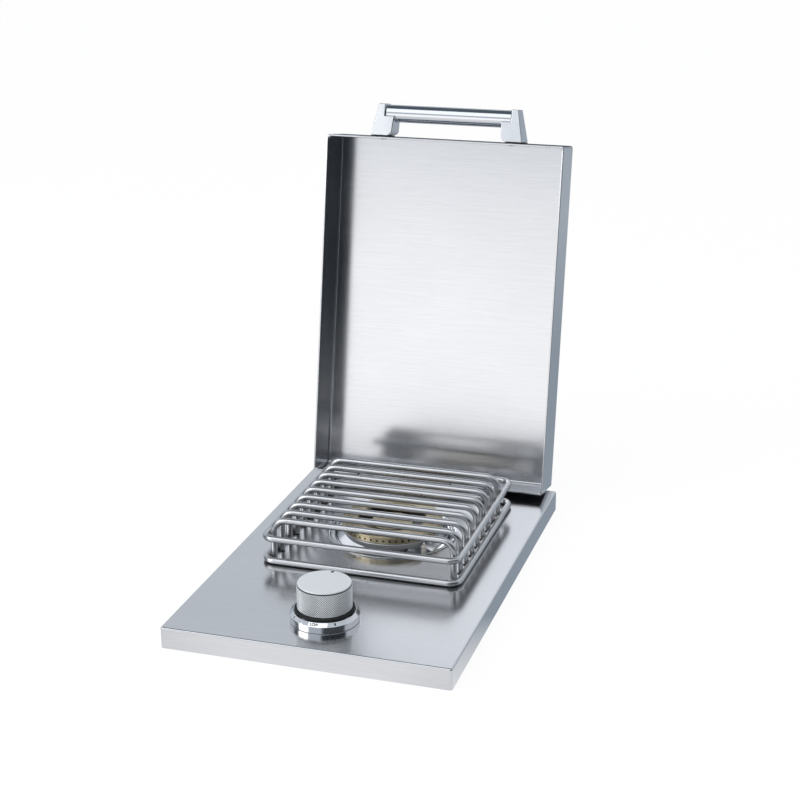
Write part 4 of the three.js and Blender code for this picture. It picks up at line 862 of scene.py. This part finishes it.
class BURNER_OT_burner_head(bpy.types.Operator):
    """Turn the pot, the ported flame ring and the centre cap"""
    bl_idname = "burner.burner_head"
    bl_label = "Burner head"

    def execute(self, context):
        sizes = context.scene.burner_sizes
        self.turn_pot(sizes)
        self.turn_ring(sizes)
        self.turn_cap(sizes)
        self.dress_electrode()
        return {"FINISHED"}

    def turn_pot(self, sizes):
        """The pot's cup, with its neck, elbow and foot."""
        rim = sizes.ring_radius / MM - 1.7
        flare = 3.6
        neck = 17
        elbow = -38
        arm_end = -44
        socket, socket_end = 13.4, 14
        foot_width, foot_length, foot_drop = 30, 24, 1.2
        edge = 1.2 * MM
        side = [(rim - flare + flare * math.sin(angle), 0.4 + 8.4 * (1 - math.cos(angle)))
                for angle in (QUARTER_TURN * step / 8 for step in range(7))]
        profile = [
            (0, elbow), (neck, elbow), (neck, -4), (neck + 1, -2), (neck + 4, -0.2), *side,
            (rim - 0.1, 6.6), *arc(rim + 0.5, 7.8, 1.1, -90, 90, 8), (rim - 2.6, 8.9),
            (rim - 3, 8.7), (rim - 3, 4.4), (rim - 4.5, 3.4), (12, 3.4), (12, -20), (0, -20)]
        cup = turned("burner_pot_cast", profile, BURNER, 96)
        arm = rod_between("pot arm", beside(BURNER, 0, arm_end, elbow),
                          beside(BURNER, 0, neck, elbow), neck * MM, 40)
        foot = box_between(
            "pot foot",
            beside(BURNER, -foot_width / 2, -foot_length / 2, elbow - neck - foot_drop),
            beside(BURNER, foot_width / 2, foot_length / 2, elbow))
        for part in (arm, foot):
            soften(part, edge)
            cut(cup, part, "UNION")
        cut(cup, rod_between(
            "tube socket", beside(BURNER, 0, arm_end - 6, elbow),
            beside(BURNER, 0, socket_end, elbow), socket * MM, 40))
        enter(cup)
        close_seams(0.03 * MM)
        leave()
        wear(cup, "base", "aluminium", "burner_pot", look="pot_aluminium", angle=40)

    def cut_all_round(self, piece, tool, count, first):
        """Cuts a piece with a tool's copies all round the burner, the first turned by a share."""
        tools = []
        for index in range(count):
            turn = Matrix.Rotation((index + first) * FULL_TURN / count, 4, "Z")
            about = Matrix.Translation(BURNER) @ turn @ Matrix.Translation(-BURNER)
            tools.append(copied(tool, "tool", about))
        bpy.data.objects.remove(tool)
        cut(piece, joined("tools", tools))

    def turn_ring(self, sizes):
        outer = sizes.ring_radius / MM
        inner = sizes.ring_slope / MM
        wall = 2.6
        port_level = 12.5
        profile = [
            (outer - wall, 9.3), (outer - 0.5, 9.3), *arc(outer - 0.5, 9.8, 0.5, -90, 0, 3)[1:],
            (outer, 15.1), (outer - 0.35, 15.35), (outer - 0.35, 15.75), (outer, 16),
            *arc(outer - 1.1, 16.1, 1.1, 0, 84, 5), (inner + 1.2, 18.5), (inner - 0.4, 18.55),
            (inner - wall + 0.6, 17.9), (inner - wall, 17), (inner - wall, 3.8), (inner, 3.8),
            (inner, 15.6), (outer - wall, 14.4), (outer - wall, 9.3)]
        ring = turned("flame_ring_turned", profile, BURNER, 150)
        port = rod_between("port", beside(BURNER, outer - wall - 2, 0, port_level),
                           beside(BURNER, outer + 2, 0, port_level), sizes.port_radius, 12)
        self.cut_all_round(ring, port, sizes.port_count, 0.5)
        wear(ring, "base", "brass", "flame_ring", look="port_brass", angle=40)

    def turn_cap(self, sizes):
        radius = sizes.cap_radius / MM
        wall = 2.4
        profile = [
            (radius - wall, 3.8), (radius, 3.8), (radius, 12.6),
            *arc(radius - 0.9, 12.7, 0.9, 0, 75, 4), (radius - 3, 14.15), (radius * 0.55, 14.8),
            (radius * 0.25, 15), (0, 15), (0, 12.6), (radius - wall, 12.2), (radius - wall, 3.8)]
        cap = turned("centre_cap_turned", profile, BURNER, 72)
        slot_count = 12
        slot_width, slot_foot, slot_top = 2.6, 4.7, 7.9
        slot = box_between("slot", beside(BURNER, radius - 6, -slot_width / 2, slot_foot),
                           beside(BURNER, radius + 2, slot_width / 2, slot_top))
        self.cut_all_round(cap, slot, slot_count, 0)
        wear(cap, "base", "brass", "centre_cap", look="ring_brass", angle=40)

    def dress_electrode(self):
        """The electrode's glazed insulator and its collar."""
        node = "electrode_insulator"
        foot = at_level(middle(node), low(node).z)
        top = (high(node).z - foot.z) / MM
        radius = 2.9
        body = turned("insulator_glazed", [
            (0, 0), (radius - 0.4, 0), (radius, 0.4), (radius, top - 5),
            (radius * 0.86, top - 4.6), (radius * 0.86, top - 3.8), (radius, top - 3.4),
            (radius, top - 2.2), *arc(radius - 1.2, top - 1.2, 1.2, 0, 90, 4), (0, top)], foot, 32)
        collar = width(node) / 2 / MM
        bore = radius - 0.5
        ring = turned("insulator collar", [
            (bore, -2), (collar - 0.5, -2), *arc(collar - 0.6, -1.4, 0.6, -90, 0, 3),
            *arc(collar - 0.6, 1.4, 0.6, 0, 90, 3), (bore, 2), (bore, -2)],
            at_level(foot, self.collar_level(node)), 32)
        body = joined("insulator_glazed", [body, ring])
        wear(body, "base", "white_ceramic", node, angle=40)

    def collar_level(self, node):
        """The level of the widest part of the insulator's solid."""
        centre = middle(node)
        reach = [((vertex.co.xy - centre.xy).length, vertex.co.z)
                 for vertex in frame["nodes"][node].data.vertices]
        widest = max(distance for distance, level in reach)
        levels = [level for distance, level in reach if distance > widest - 0.2 * MM]
        return (min(levels) + max(levels)) / 2


class BURNER_OT_grate(bpy.types.Operator):
    """Bend the two grate frames and the cross rods"""
    bl_idname = "burner.grate"
    bl_label = "Grate"

    def execute(self, context):
        sizes = context.scene.burner_grate
        for node in ("grate_lower_frame", "grate_upper_frame"):
            wear(self.bend_frame(node, sizes), "base", "polished_steel", node,
                 look="rod_steel", angle=60)
        first = self.bend_rod("grate_rod_1", sizes)
        smooth(first, 60)
        for index in range(1, sizes.rod_count):
            node = f"grate_rod_{index + 1}"
            shift = middle(node) - middle("grate_rod_1")
            rod = copied(first, f"cross_rod_{index + 1}", Matrix.Translation(shift))
            wear(rod, "base", "polished_steel", node, look="rod_steel")
        wear(first, "base", "polished_steel", "grate_rod_1", look="rod_steel")
        return {"FINISHED"}

    def bend_frame(self, node, sizes):
        radius = sizes.rod_radius
        left, right = low(node).x + radius, high(node).x - radius
        front, back = low(node).y + radius, high(node).y - radius
        path = ((0, front), (right, front), (right, back), (left, back), (left, front), (0, front))
        return bent_rod(node + "_bent", [(x, y, middle(node).z) for x, y in path],
                        sizes.frame_corner, radius, 10)

    def bend_rod(self, node, sizes):
        radius = sizes.rod_radius
        left, right = low(node).x + radius, high(node).x - radius
        foot, top = low(node).z, high(node).z - radius
        path = ((left, foot), (left, top), (right, top), (right, foot))
        piece = bent_rod("cross_rod_1", [(x, middle(node).y, z) for x, z in path],
                         sizes.rod_bend, radius, 12)
        soften(piece, 0.5 * MM, 2, 60)
        return piece


class BURNER_OT_knob(bpy.types.Operator):
    """Make the knurled knob, its cap, pointer and black ring"""
    bl_idname = "burner.knob"
    bl_label = "Knob"

    def execute(self, context):
        sizes = context.scene.burner_knob
        self.knurl_body(sizes)
        self.turn_cap(sizes)
        self.turn_skirt()
        self.make_pointer()
        return {"FINISHED"}

    def knurl_body(self, sizes):
        radius = width("knob_body") / 2
        core = radius - sizes.knurl_height
        chamfer = 0.8 * MM
        crown = radius - chamfer
        face = 20 * MM
        hub = 23.4 * MM
        skirt_overlap = 1.1 * MM
        bottom, top = high("knob_skirt").z - skirt_overlap, high("knob_body").z - chamfer
        diamonds = round(FULL_TURN * radius / sizes.knurl_pitch)
        rows = 2 * round((top - bottom) / sizes.knurl_pitch)
        rise = (top - bottom) / rows
        points = [(KNOB.x + core, KNOB.y, bottom + rise * row) for row in range(rows + 1)]
        piece = spun("knob_knurled_body", points, KNOB, 2 * diamonds)
        bpy.ops.mesh.unsubdivide(iterations=1)
        pick_all()
        bpy.ops.mesh.normals_make_consistent(inside=False)
        bpy.ops.mesh.poke(offset=sizes.knurl_height)
        pick_level(piece, top)
        self.draw_ring(chamfer, crown / core)
        self.draw_ring(0, face / crown)
        bpy.ops.mesh.edge_face_add()
        pick_level(piece, bottom)
        self.draw_ring(0, hub / core)
        draw_on((0, 0, low("knob_body").z - bottom))
        bpy.ops.mesh.edge_face_add()
        close_seams()
        leave()
        cut(piece, self.notch(low("knob_pointer").z - SEAT_GAP))
        wear(piece, "knob", "aluminium", "knob_body", look="knurled_aluminium", angle=25)

    def draw_ring(self, rise, share):
        """Draws the picked ring of edges up and to a share of its radius."""
        draw_on((0, 0, rise))
        widen(share, share, KNOB)

    def notch(self, bottom):
        """The room that the pointer takes up, with a gap all round."""
        lowest, highest = low("knob_pointer"), high("knob_pointer")
        return box_between(
            "pointer notch", (lowest.x - SEAT_GAP, lowest.y - SEAT_GAP, bottom),
            (highest.x + SEAT_GAP, highest.y + 3 * MM, highest.z + 2 * MM))

    def turn_cap(self, sizes):
        foot = at_level(KNOB, low("knob_cap").z)
        top = (high("knob_cap").z - foot.z) / MM
        radius = sizes.cap_radius / MM
        edge = 0.6
        piece = turned("knob_cap_disc", [
            (0, 0), (radius - 0.2, 0), (radius, 0.2), (radius, top - edge),
            *arc(radius - edge, top - edge, edge, 0, 90, 5)[1:], (radius - 1.1, top),
            (radius - 1.5, top - 0.12), (0, top - 0.12)], foot, 96)
        cut(piece, self.notch(foot.z - MM))
        wear(piece, "knob", "pale_aluminium", "knob_cap", look="knob_cap", angle=40)

    def turn_skirt(self):
        foot = at_level(KNOB, low("knob_skirt").z)
        top = (high("knob_skirt").z - foot.z) / MM - 1.4
        radius = width("knob_skirt") / 2 / MM
        bore = 24
        upper = 28.6
        piece = turned("knob_black_ring", [
            (bore, 0), (radius - 0.4, 0), (radius, 0.4), (radius, 1.8),
            *arc(radius - 1.2, 2, 1.2, 0, 50, 4), (upper + 0.1, top - 0.3), (upper - 0.4, top),
            (bore, top), (bore, 0)], foot, 96)
        wear(piece, "knob", "black_rubber", "knob_skirt", angle=40)

    def make_pointer(self):
        lowest, highest = low("knob_pointer"), high("knob_pointer")
        piece = box_between("knob_pointer_block", lowest, highest)
        soften(piece, 0.35 * MM, 3)
        wear(piece, "knob", "black_plastic", "knob_pointer", angle=40)
        profile = [(0, -0.2), (0.75, -0.2), (0.75, 0.05), (0.6, 0.15), (0, 0.2)]
        centre = Vector((KNOB.x, highest.y - 1.5 * MM, highest.z))
        wear(turned("knob_pointer_dot", profile, centre, 20), "knob", "white_sleeve", angle=40)


class BURNER_OT_bezel(bpy.types.Operator):
    """Turn the bezel and set its letters and marks"""
    bl_idname = "burner.bezel"
    bl_label = "Bezel"

    def execute(self, context):
        bottom = (low("bezel_ring").z - PLATE_TOP) / MM
        crest = (high("bezel_ring").z - PLATE_TOP) / MM
        outer = width("bezel_ring") / 2 / MM
        bore = 31
        brow = bore + 0.9
        shoulder = 7.6
        edge = 0.6
        lip = 0.45
        piece = turned("bezel_turned", [
            (bore, bottom), (outer - 0.5, bottom), (outer - 0.2, bottom + 0.3),
            *arc(outer - edge, shoulder - edge, edge, 0, 55, 4), (brow, crest - 0.15),
            *arc(bore + lip, crest - lip, lip, 60, 180, 5), (bore, bottom)], KNOB, 128)
        wear(piece, "base", "chrome", "bezel_ring", angle=40)
        rise = crest - shoulder
        run = outer - edge * 0.4 - brow
        self.slope = math.atan2(rise, run)
        self.reach = (brow + run / 2) * MM
        self.level = PLATE_TOP + (shoulder + rise / 2 + 0.12) * MM
        self.relief = 0.06 * MM
        mark_length = 2.4 * MM
        marks = []
        for word, bearing in (("OFF", 90), ("HIGH", 180), ("LOW", 270)):
            marks += self.word_letters(word, bearing, context.scene.burner_knob.letter_size)
        for bearing, mark_width in ((135, 0.6 * MM), (225, 0.6 * MM), (307, 1.5 * MM)):
            corner = Vector((mark_width / 2, mark_length / 2, self.relief))
            marks.append(box_between("mark", -corner, corner))
            marks[-1].data.transform(self.seat(bearing))
        printed = joined("bezel_letters", marks)
        enter(printed)
        close_seams()
        leave()
        wear(printed, "base", "black_plastic", look="dark_print")
        return {"FINISHED"}

    def seat(self, bearing):
        """From the page of a letter to its place on the bezel's slope."""
        return (Matrix.Translation(at_level(KNOB, self.level))
                @ Matrix.Rotation(math.radians(bearing + 90), 4, "Z")
                @ Matrix.Translation((0, -self.reach, 0)) @ Matrix.Rotation(self.slope, 4, "X"))

    def word_letters(self, word, bearing, size):
        made = []
        body_size = size * 1.3
        spacing = math.degrees(size * 0.86 / self.reach)
        for index, letter in enumerate(word):
            deselect()
            bpy.ops.object.text_add()
            text = bpy.context.active_object.data
            text.body = letter
            text.size = body_size
            text.align_x = "CENTER"
            text.align_y = "CENTER"
            text.extrude = self.relief
            text.offset = self.relief
            bpy.ops.object.convert(target="MESH")
            piece = bpy.context.active_object
            piece.data.transform(self.seat(bearing + spacing * (index - (len(word) - 1) / 2)))
            made.append(piece)
        return made


class BURNER_OT_stem_spring(bpy.types.Operator):
    """Coil the stem's spring, which shortens as the knob is pushed in"""
    bl_idname = "burner.stem_spring"
    bl_label = "Stem spring"

    def execute(self, context):
        lowest, highest = low("stem_spring"), high("stem_spring")
        centre = middle("stem_spring")
        wire = 0.6 * MM
        turns = 3
        height = highest.z - lowest.z
        deselect()
        bpy.ops.mesh.primitive_circle_add(
            vertices=12, radius=wire, location=(width("stem_spring") / 2 - wire, 0, 0),
            rotation=(QUARTER_TURN, 0, 0))
        piece = fresh("stem_spring_coiled")
        use_modifier(piece, "SCREW", angle=FULL_TURN, screw_offset=(height - 2 * wire) / turns,
                     iterations=turns, steps=24, render_steps=24, axis="Z")
        enter(piece, "EDGE")
        pick_all()
        bpy.ops.mesh.fill_holes(sides=0)
        close_seams()
        leave()
        stand(piece, Matrix.Translation((centre.x, centre.y, lowest.z + wire)))
        wear(piece, "valve_plug", "chrome", "stem_spring", look="polished_steel", angle=60)
        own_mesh(piece)
        return {"FINISHED"}


class BURNER_OT_lid(bpy.types.Operator):
    """Fold the lid with its hemmed rim and hinge notches"""
    bl_idname = "burner.lid"
    bl_label = "Lid"

    def execute(self, context):
        sizes = context.scene.burner_sheets
        half = sizes.lid_width / 2
        rim = -sizes.rim_drop
        fold = 2.15 * sizes.lid_sheet
        fold_bend = 0.45 * fold
        piece = folded_tray(
            "lid_folded_shell", Vector((-half, -sizes.lid_length, rim)),
            Vector((half, 0, rim + sizes.lid_depth)), sizes.lid_corner, sizes.lid_bend, fold)
        draw_on((0, 0, sizes.lid_hem))
        pick_edges(piece, lambda a, b: max(a.z, b.z) < rim + SAME_LEVEL
                   and self.along_rim(a, b, half, sizes.lid_length))
        bpy.ops.mesh.bevel(offset=fold_bend, segments=3, affect="EDGES")
        close_seams()
        self.open_notches(piece)
        leave()
        thicken(piece, sizes.lid_sheet)
        stand(piece, lid_matrix())
        wear(piece, "lid", "brushed_steel", "lid_shell", angle=30)
        return {"FINISHED"}

    def open_notches(self, piece):
        """Takes the hinge notches out of the rear wall and its hem."""
        gap = 1.2 * MM
        half = width("hinge_pin_left") / 2 + gap
        top = 4.1 * MM
        rear = -4 * MM
        for x in (-HINGE_SIDE, HINGE_SIDE):
            for edge in (x - half, x + half):
                pick_faces(piece, lambda place, normal: place.y > rear)
                bpy.ops.mesh.bisect(plane_co=(edge, 0, 0), plane_no=(1, 0, 0))
            pick_faces(piece, lambda place, normal: place.y > rear and abs(place.x - x) < half)
            bpy.ops.mesh.bisect(plane_co=(0, 0, top), plane_no=UP)
            pick_faces(piece, lambda place, normal: place.y > rear
                       and abs(place.x - x) < half and place.z < top)
            bpy.ops.mesh.delete(type="FACE")

    def along_rim(self, a, b, half, lid_length):
        """Whether an edge runs round the rim and not across its fold."""
        def inset(point):
            return min(half - abs(point.x), lid_length / 2 - abs(point.y + lid_length / 2))
        return abs(inset(a) - inset(b)) < MM / 2


class BURNER_OT_handle(bpy.types.Operator):
    """Shape the handle bar, its brackets and their pads"""
    bl_idname = "burner.handle"
    bl_label = "Handle"

    def execute(self, context):
        sizes = context.scene.burner_handle
        depth = 32 * MM
        ear = 8 * MM
        inner = sizes.top_span / 2 - ear
        end = inner - SEAT_GAP
        bar = rod_between("handle_round_bar", (-end, sizes.bar_height, 0),
                          (end, sizes.bar_height, 0), sizes.bar_radius, 64)
        soften(bar, 0.8 * MM, 3)
        stand(bar, handle_matrix())
        wear(bar, "lid", "polished_steel", "handle_bar", angle=40)
        shape = self.cast_bracket(sizes, inner, depth)
        outer = sizes.base_span / 2
        pad_width = 20 * MM
        pad_top = 1.3 * MM
        for side, word in ((1, "right"), (-1, "left")):
            mirror = Matrix.Scale(side, 4, (1, 0, 0))
            bracket = copied(shape, f"handle_bracket_{word}_cast", handle_matrix() @ mirror)
            wear(bracket, "lid", "pale_aluminium", f"handle_bracket_{word}", angle=40)
            pad = box_between(
                f"handle_pad_{word}_cut", (side * (outer - pad_width), SEAT_GAP, -depth / 2),
                (side * outer, pad_top, depth / 2))
            enter(pad)
            close_seams()
            leave()
            soften(pad, 0.3 * MM, 2)
            stand(pad, handle_matrix())
            wear(pad, "lid", "black_rubber", f"handle_pad_{word}", angle=40)
        bpy.data.objects.remove(shape)
        return {"FINISHED"}

    def cast_bracket(self, sizes, inner, depth):
        """The right bracket: an ear that seats the bar, a ledge and a heel, with slanted sides."""
        base = 1.6 * MM
        ledge_height = 24 * MM
        ledge_width = 11.5 * MM
        ledge = inner - ledge_width
        heel = 6 * MM
        foot_width = 19 * MM
        side_slant = 3.5 * MM
        bar_gap = 0.45 * MM
        outer = sizes.base_span / 2
        outline = [
            (outer, base), (sizes.top_span / 2, sizes.rise), (inner, sizes.rise),
            (inner, ledge_height), (ledge, ledge_height),
            *arc(outer - foot_width, base + heel, heel, 180, 270, 8)]
        shape = draw_line("handle bracket", [(x, y, -depth / 2) for x, y in outline])
        pick_all()
        bpy.ops.mesh.edge_face_add()
        bpy.ops.mesh.select_mode(type="FACE")
        pick_all()
        draw_on((0, 0, depth))
        slant = math.atan2(side_slant, ledge_height)
        for side in (-1, 1):
            pick_all()
            bpy.ops.mesh.bisect(
                plane_co=(0, base, side * depth / 2),
                plane_no=(0, math.sin(slant), side * math.cos(slant)),
                clear_outer=True, use_fill=True)
        close_seams()
        leave()
        soften(shape, 0.9 * MM, 3, 40)
        cut(shape, rod_between("bar seat", (0, sizes.bar_height, 0), (inner, sizes.bar_height, 0),
                               sizes.bar_radius + bar_gap, 64))
        return shape


class BURNER_OT_fasteners(bpy.types.Operator):
    """Set the hinge screws, rivets, housing nuts and bracket screws"""
    bl_idname = "burner.fasteners"
    bl_label = "Fasteners"

    def execute(self, context):
        sheets = context.scene.burner_sheets
        front = Vector((0, sheets.lid_sheet - sheets.lid_length, context.scene.burner_handle.level))
        flange_top = 1.3 * MM
        flange = Vector((0, 0, high("housing_pan").z - flange_top))
        leaf = at_level(HINGE, PLATE_TOP)
        bracket = Vector((0, BURNER.y, 45.5 * MM))
        hinge_side = HINGE_SIDE / MM
        leaf_back, leaf_top, leaf_spread = 12, 1.8, 18
        bracket_side, bracket_spread = 131, 11
        handle_side, handle_spread = 76, 7
        rivet_spread, rivet_wall, rivet_level = 7, -2.8, 17
        nut_side, nut_step = 135.5, 165
        screw, rivet, nut = self.pan_screw(), self.domed_rivet(), self.hexagon_nut()
        self.set_row(screw, "hinge_screw", "base", "polished_steel", [
            Matrix.Translation(beside(
                leaf, side * hinge_side + end * leaf_spread, leaf_back, leaf_top))
            for side, end in FOUR_WAYS])
        self.set_row(screw, "bracket_screw", "base", "zinc_steel", [
            Matrix.Translation(beside(bracket, side * bracket_side, end * bracket_spread, 0))
            @ Matrix.Rotation(side * QUARTER_TURN, 4, "Y") for side, end in FOUR_WAYS])
        self.set_row(screw, "handle_screw", "lid", "polished_steel", [
            lid_matrix()
            @ Matrix.Translation(beside(front, side * handle_side, 0, end * handle_spread))
            @ Matrix.Rotation(-QUARTER_TURN, 4, "X") for side, end in FOUR_WAYS])
        self.set_row(rivet, "hinge_rivet", "lid", "aluminium", [
            lid_matrix() @ Matrix.Translation(beside(
                ORIGIN, side * hinge_side + end * rivet_spread, rivet_wall, rivet_level))
            @ Matrix.Rotation(QUARTER_TURN, 4, "X") for side, end in FOUR_WAYS])
        self.set_row(nut, "housing_nut", "base", "zinc_steel", [
            Matrix.Translation(beside(flange, side * nut_side, row * nut_step, 0))
            for side in (-1, 1) for row in (-1, 0, 1)])
        for model in (screw, rivet, nut):
            bpy.data.objects.remove(model)
        return {"FINISHED"}

    def set_row(self, model, name, body, slot, seats):
        """Copies a model to its seats."""
        for count, seat in enumerate(seats, 1):
            wear(copied(model, f"{name}_{count}", seat), body, slot)

    def pan_screw(self):
        """A pan head screw with a cross recess, its seat at the origin and its head up."""
        radius = 4
        shank = 2.05
        cross_reach, cross_half, cross_floor = 2.1, 0.42, 1.2
        piece = turned("pan screw", [
            (0, -3.2), (shank - 0.3, -3.2), (shank, -2.8), (shank, 0), (radius, 0.02),
            (radius, 0.7), *arc(radius - 1.5, 0.8, 1.5, 0, 80, 5), (0, 2.45)], ORIGIN, 36)
        for turn in (0, QUARTER_TURN):
            slot = box_between("cross", beside(ORIGIN, -cross_reach, -cross_half, cross_floor),
                               beside(ORIGIN, cross_reach, cross_half, 3))
            slot.data.transform(Matrix.Rotation(turn, 4, "Z"))
            cut(piece, slot)
        smooth(piece, 40)
        return piece

    def domed_rivet(self):
        """A rivet of the hinges' lid leaves."""
        radius = 2.4
        piece = turned("rivet", [
            (0, -0.6), (1.5, -0.6), (1.5, 0), (radius, 0.02), (radius, 0.25),
            *arc(0.9, 0.1, radius - 0.9, 15, 90, 5), (0, 1.6)], ORIGIN, 28)
        smooth(piece, 40)
        return piece

    def hexagon_nut(self):
        """A nut of the studs that hold the housing to the plate."""
        height = 3.2
        corner = 4.04 * MM
        bore = 2.1 * MM
        piece = rod_between("nut", beside(ORIGIN, 0, 0, -height), ORIGIN, corner, 6)
        soften(piece, 0.35 * MM, 2)
        drill(piece, ORIGIN, -2 * height, height, bore, 24)
        smooth(piece, 30)
        return piece


class BURNER_OT_frame_finishes(bpy.types.Operator):
    """Give every CAD node that stays in view its finish"""
    bl_idname = "burner.frame_finishes"
    bl_label = "Finishes of the CAD nodes"

    def execute(self, context):
        for part in frame["record"]["subparts"]:
            node = frame["nodes"][part["node"]]
            node.data.materials.clear()
            node.data.materials.append(finish(part["material_slot"]))
        return {"FINISHED"}


class BURNER_OT_stage(bpy.types.Operator):
    """Set up the floor, the lamps, the room and the camera"""
    bl_idname = "burner.stage"
    bl_label = "Stage"

    def execute(self, context):
        studio = context.scene.burner_studio
        self.lay_floor()
        self.light_room(studio)
        for name, place, size, power in (
                ("overhead lamp", (-0.35, -1.05, 2.0), 1.6, studio.overhead_power),
                ("side lamp", (-1.9, -1.4, 1.3), 1.5, studio.side_power)):
            self.hang_lamp(name, place, size, power)
        self.set_camera(studio)
        context.scene.view_settings.view_transform = "Standard"
        return {"FINISHED"}

    def lay_floor(self):
        """A counter top round the housing, at the foot of the plate's walls."""
        size = 12
        hole = 0.6
        opening = Vector((282, 436, 0)) * MM
        level = low("top_plate").z
        deselect()
        bpy.ops.mesh.primitive_plane_add(size=size, location=(0, 0, level))
        floor = fresh("floor")
        enter(floor, "FACE")
        pick_all()
        bpy.ops.mesh.inset(thickness=(size - hole) / 2)
        pick_faces(floor, lambda place, normal: place.xy.length < hole / 2)
        widen(opening.x / hole, opening.y / hole, (0, 0, level))
        bpy.ops.mesh.delete(type="FACE")
        leave()
        floor.data.materials.append(self.floor_material())

    def floor_material(self):
        """White to the camera with the object's shadow, and the room's shades to metal."""
        recipe = Recipe("white floor")
        recipe.shader.inputs["Base Color"].default_value = (0.9, 0.9, 0.9, 1)
        recipe.shader.inputs["Roughness"].default_value = 0.9
        rays = recipe.add("LightPath").outputs
        seen = recipe.math("MAXIMUM", rays["Is Camera Ray"], rays["Is Transmission Ray"])
        glow = recipe.add("Emission", named={"Strength": 1.06})
        white = recipe.choose(recipe.times(seen, 0.86), recipe.shader.outputs[0], glow.outputs[0])
        place = recipe.coordinates()
        away = recipe.add("VectorMath", place, operation="NORMALIZE").outputs[0]
        reach = recipe.add("VectorMath", place, operation="LENGTH").outputs["Value"]
        near = recipe.blend(
            recipe.span(recipe.split(away)["Y"], -0.9, -0.35), grey(0.98), grey(0.42))
        shades = recipe.blend(recipe.span(reach, 0.9, 1.8), near, room_shades(recipe, away))
        mirrored = recipe.add("Emission", named={"Color": shades, "Strength": 1})
        both = recipe.choose(rays["Is Glossy Ray"], white, mirrored.outputs[0])
        recipe.join(both, recipe.tree.nodes["Material Output"].inputs["Surface"])
        return recipe.material

    def light_room(self, studio):
        """Soft light from all round, the room's shades to metal, and white to the camera."""
        world = bpy.data.worlds.new("room")
        bpy.context.scene.world = world
        world.use_nodes = True
        world.node_tree.nodes.clear()
        room = Nodes(world.node_tree)
        rays = room.add("LightPath").outputs
        seen = room.math("MAXIMUM", rays["Is Camera Ray"], rays["Is Transmission Ray"])
        shades = room_shades(room, room.coordinates("Generated"))
        soft, mirrored, white = (
            room.add("Background", named={"Color": tone, "Strength": strength}).outputs[0]
            for tone, strength in (((0.97, 0.985, 1, 1), studio.room_light), (shades, 1),
                                   ((1, 1, 1, 1), 1)))
        gloss = room.choose(rays["Is Glossy Ray"], soft, mirrored)
        output = room.add("OutputWorld")
        room.join(room.choose(seen, gloss, white), output.inputs["Surface"])

    def hang_lamp(self, name, place, size, power):
        target = Vector((0, 0, PLATE_TOP))
        deselect()
        bpy.ops.object.light_add(
            type="AREA", location=place,
            rotation=(target - Vector(place)).to_track_quat("-Z", "Y").to_euler())
        lamp = bpy.context.active_object
        lamp.name = name
        lamp.data.size = size
        lamp.data.energy = power

    def set_camera(self, studio):
        """The camera's place, aim and roll as fitted to the photograph."""
        place = Vector((529.3, -1619.35, 882.4)) * MM
        target = Vector((-2.1, 55.65, 267.0)) * MM
        aim = (target - place).to_track_quat("-Z", "Y").to_matrix().to_4x4()
        roll = Matrix.Rotation(math.radians(-0.3), 4, "Z")
        deselect()
        bpy.ops.object.camera_add()
        camera = bpy.context.active_object
        camera.name = "photo camera"
        camera.matrix_world = Matrix.Translation(place) @ aim @ roll
        camera.data.sensor_width = 36
        camera.data.lens = studio.lens
        camera.data.shift_x = 0.0144
        camera.data.clip_start = 0.05
        camera.data.clip_end = 50
        bpy.context.scene.camera = camera


STEPS = (
    BURNER_OT_stage, BURNER_OT_frame_finishes, BURNER_OT_top_plate, BURNER_OT_drip_bowl,
    BURNER_OT_burner_head, BURNER_OT_grate, BURNER_OT_knob, BURNER_OT_bezel,
    BURNER_OT_stem_spring, BURNER_OT_lid, BURNER_OT_handle, BURNER_OT_fasteners,
)
SETTINGS = {
    "burner_sheets": SheetSizes,
    "burner_sizes": BurnerSizes,
    "burner_grate": GrateSizes,
    "burner_knob": KnobSizes,
    "burner_handle": HandleSizes,
    "burner_finishes": FinishColours,
    "burner_studio": StudioSettings,
}


class BURNER_PT_panel(bpy.types.Panel):
    """Sizes, finishes and steps of the side burner"""
    bl_idname = "BURNER_PT_panel"
    bl_label = "Side burner"
    bl_space_type = "VIEW_3D"
    bl_region_type = "UI"
    bl_category = "Side Burner"

    def draw(self, context):
        for step in STEPS:
            self.layout.operator(step.bl_idname)
        for name in SETTINGS:
            group = getattr(context.scene, name)
            box = self.layout.box()
            box.label(text=type(group).__name__)
            for key in type(group).__annotations__:
                box.prop(group, key)


def register():
    for name, kind in SETTINGS.items():
        bpy.utils.register_class(kind)
        setattr(bpy.types.Scene, name, PointerProperty(type=kind))
    for step in STEPS:
        bpy.utils.register_class(step)
    bpy.utils.register_class(BURNER_PT_panel)


def unregister():
    bpy.utils.unregister_class(BURNER_PT_panel)
    for step in reversed(STEPS):
        bpy.utils.unregister_class(step)
    for name, kind in SETTINGS.items():
        delattr(bpy.types.Scene, name)
        bpy.utils.unregister_class(kind)


def main():
    register()
    for step in STEPS:
        group, name = step.bl_idname.split(".")
        getattr(getattr(bpy.ops, group), name)()


if __name__ == "__main__":
    main()
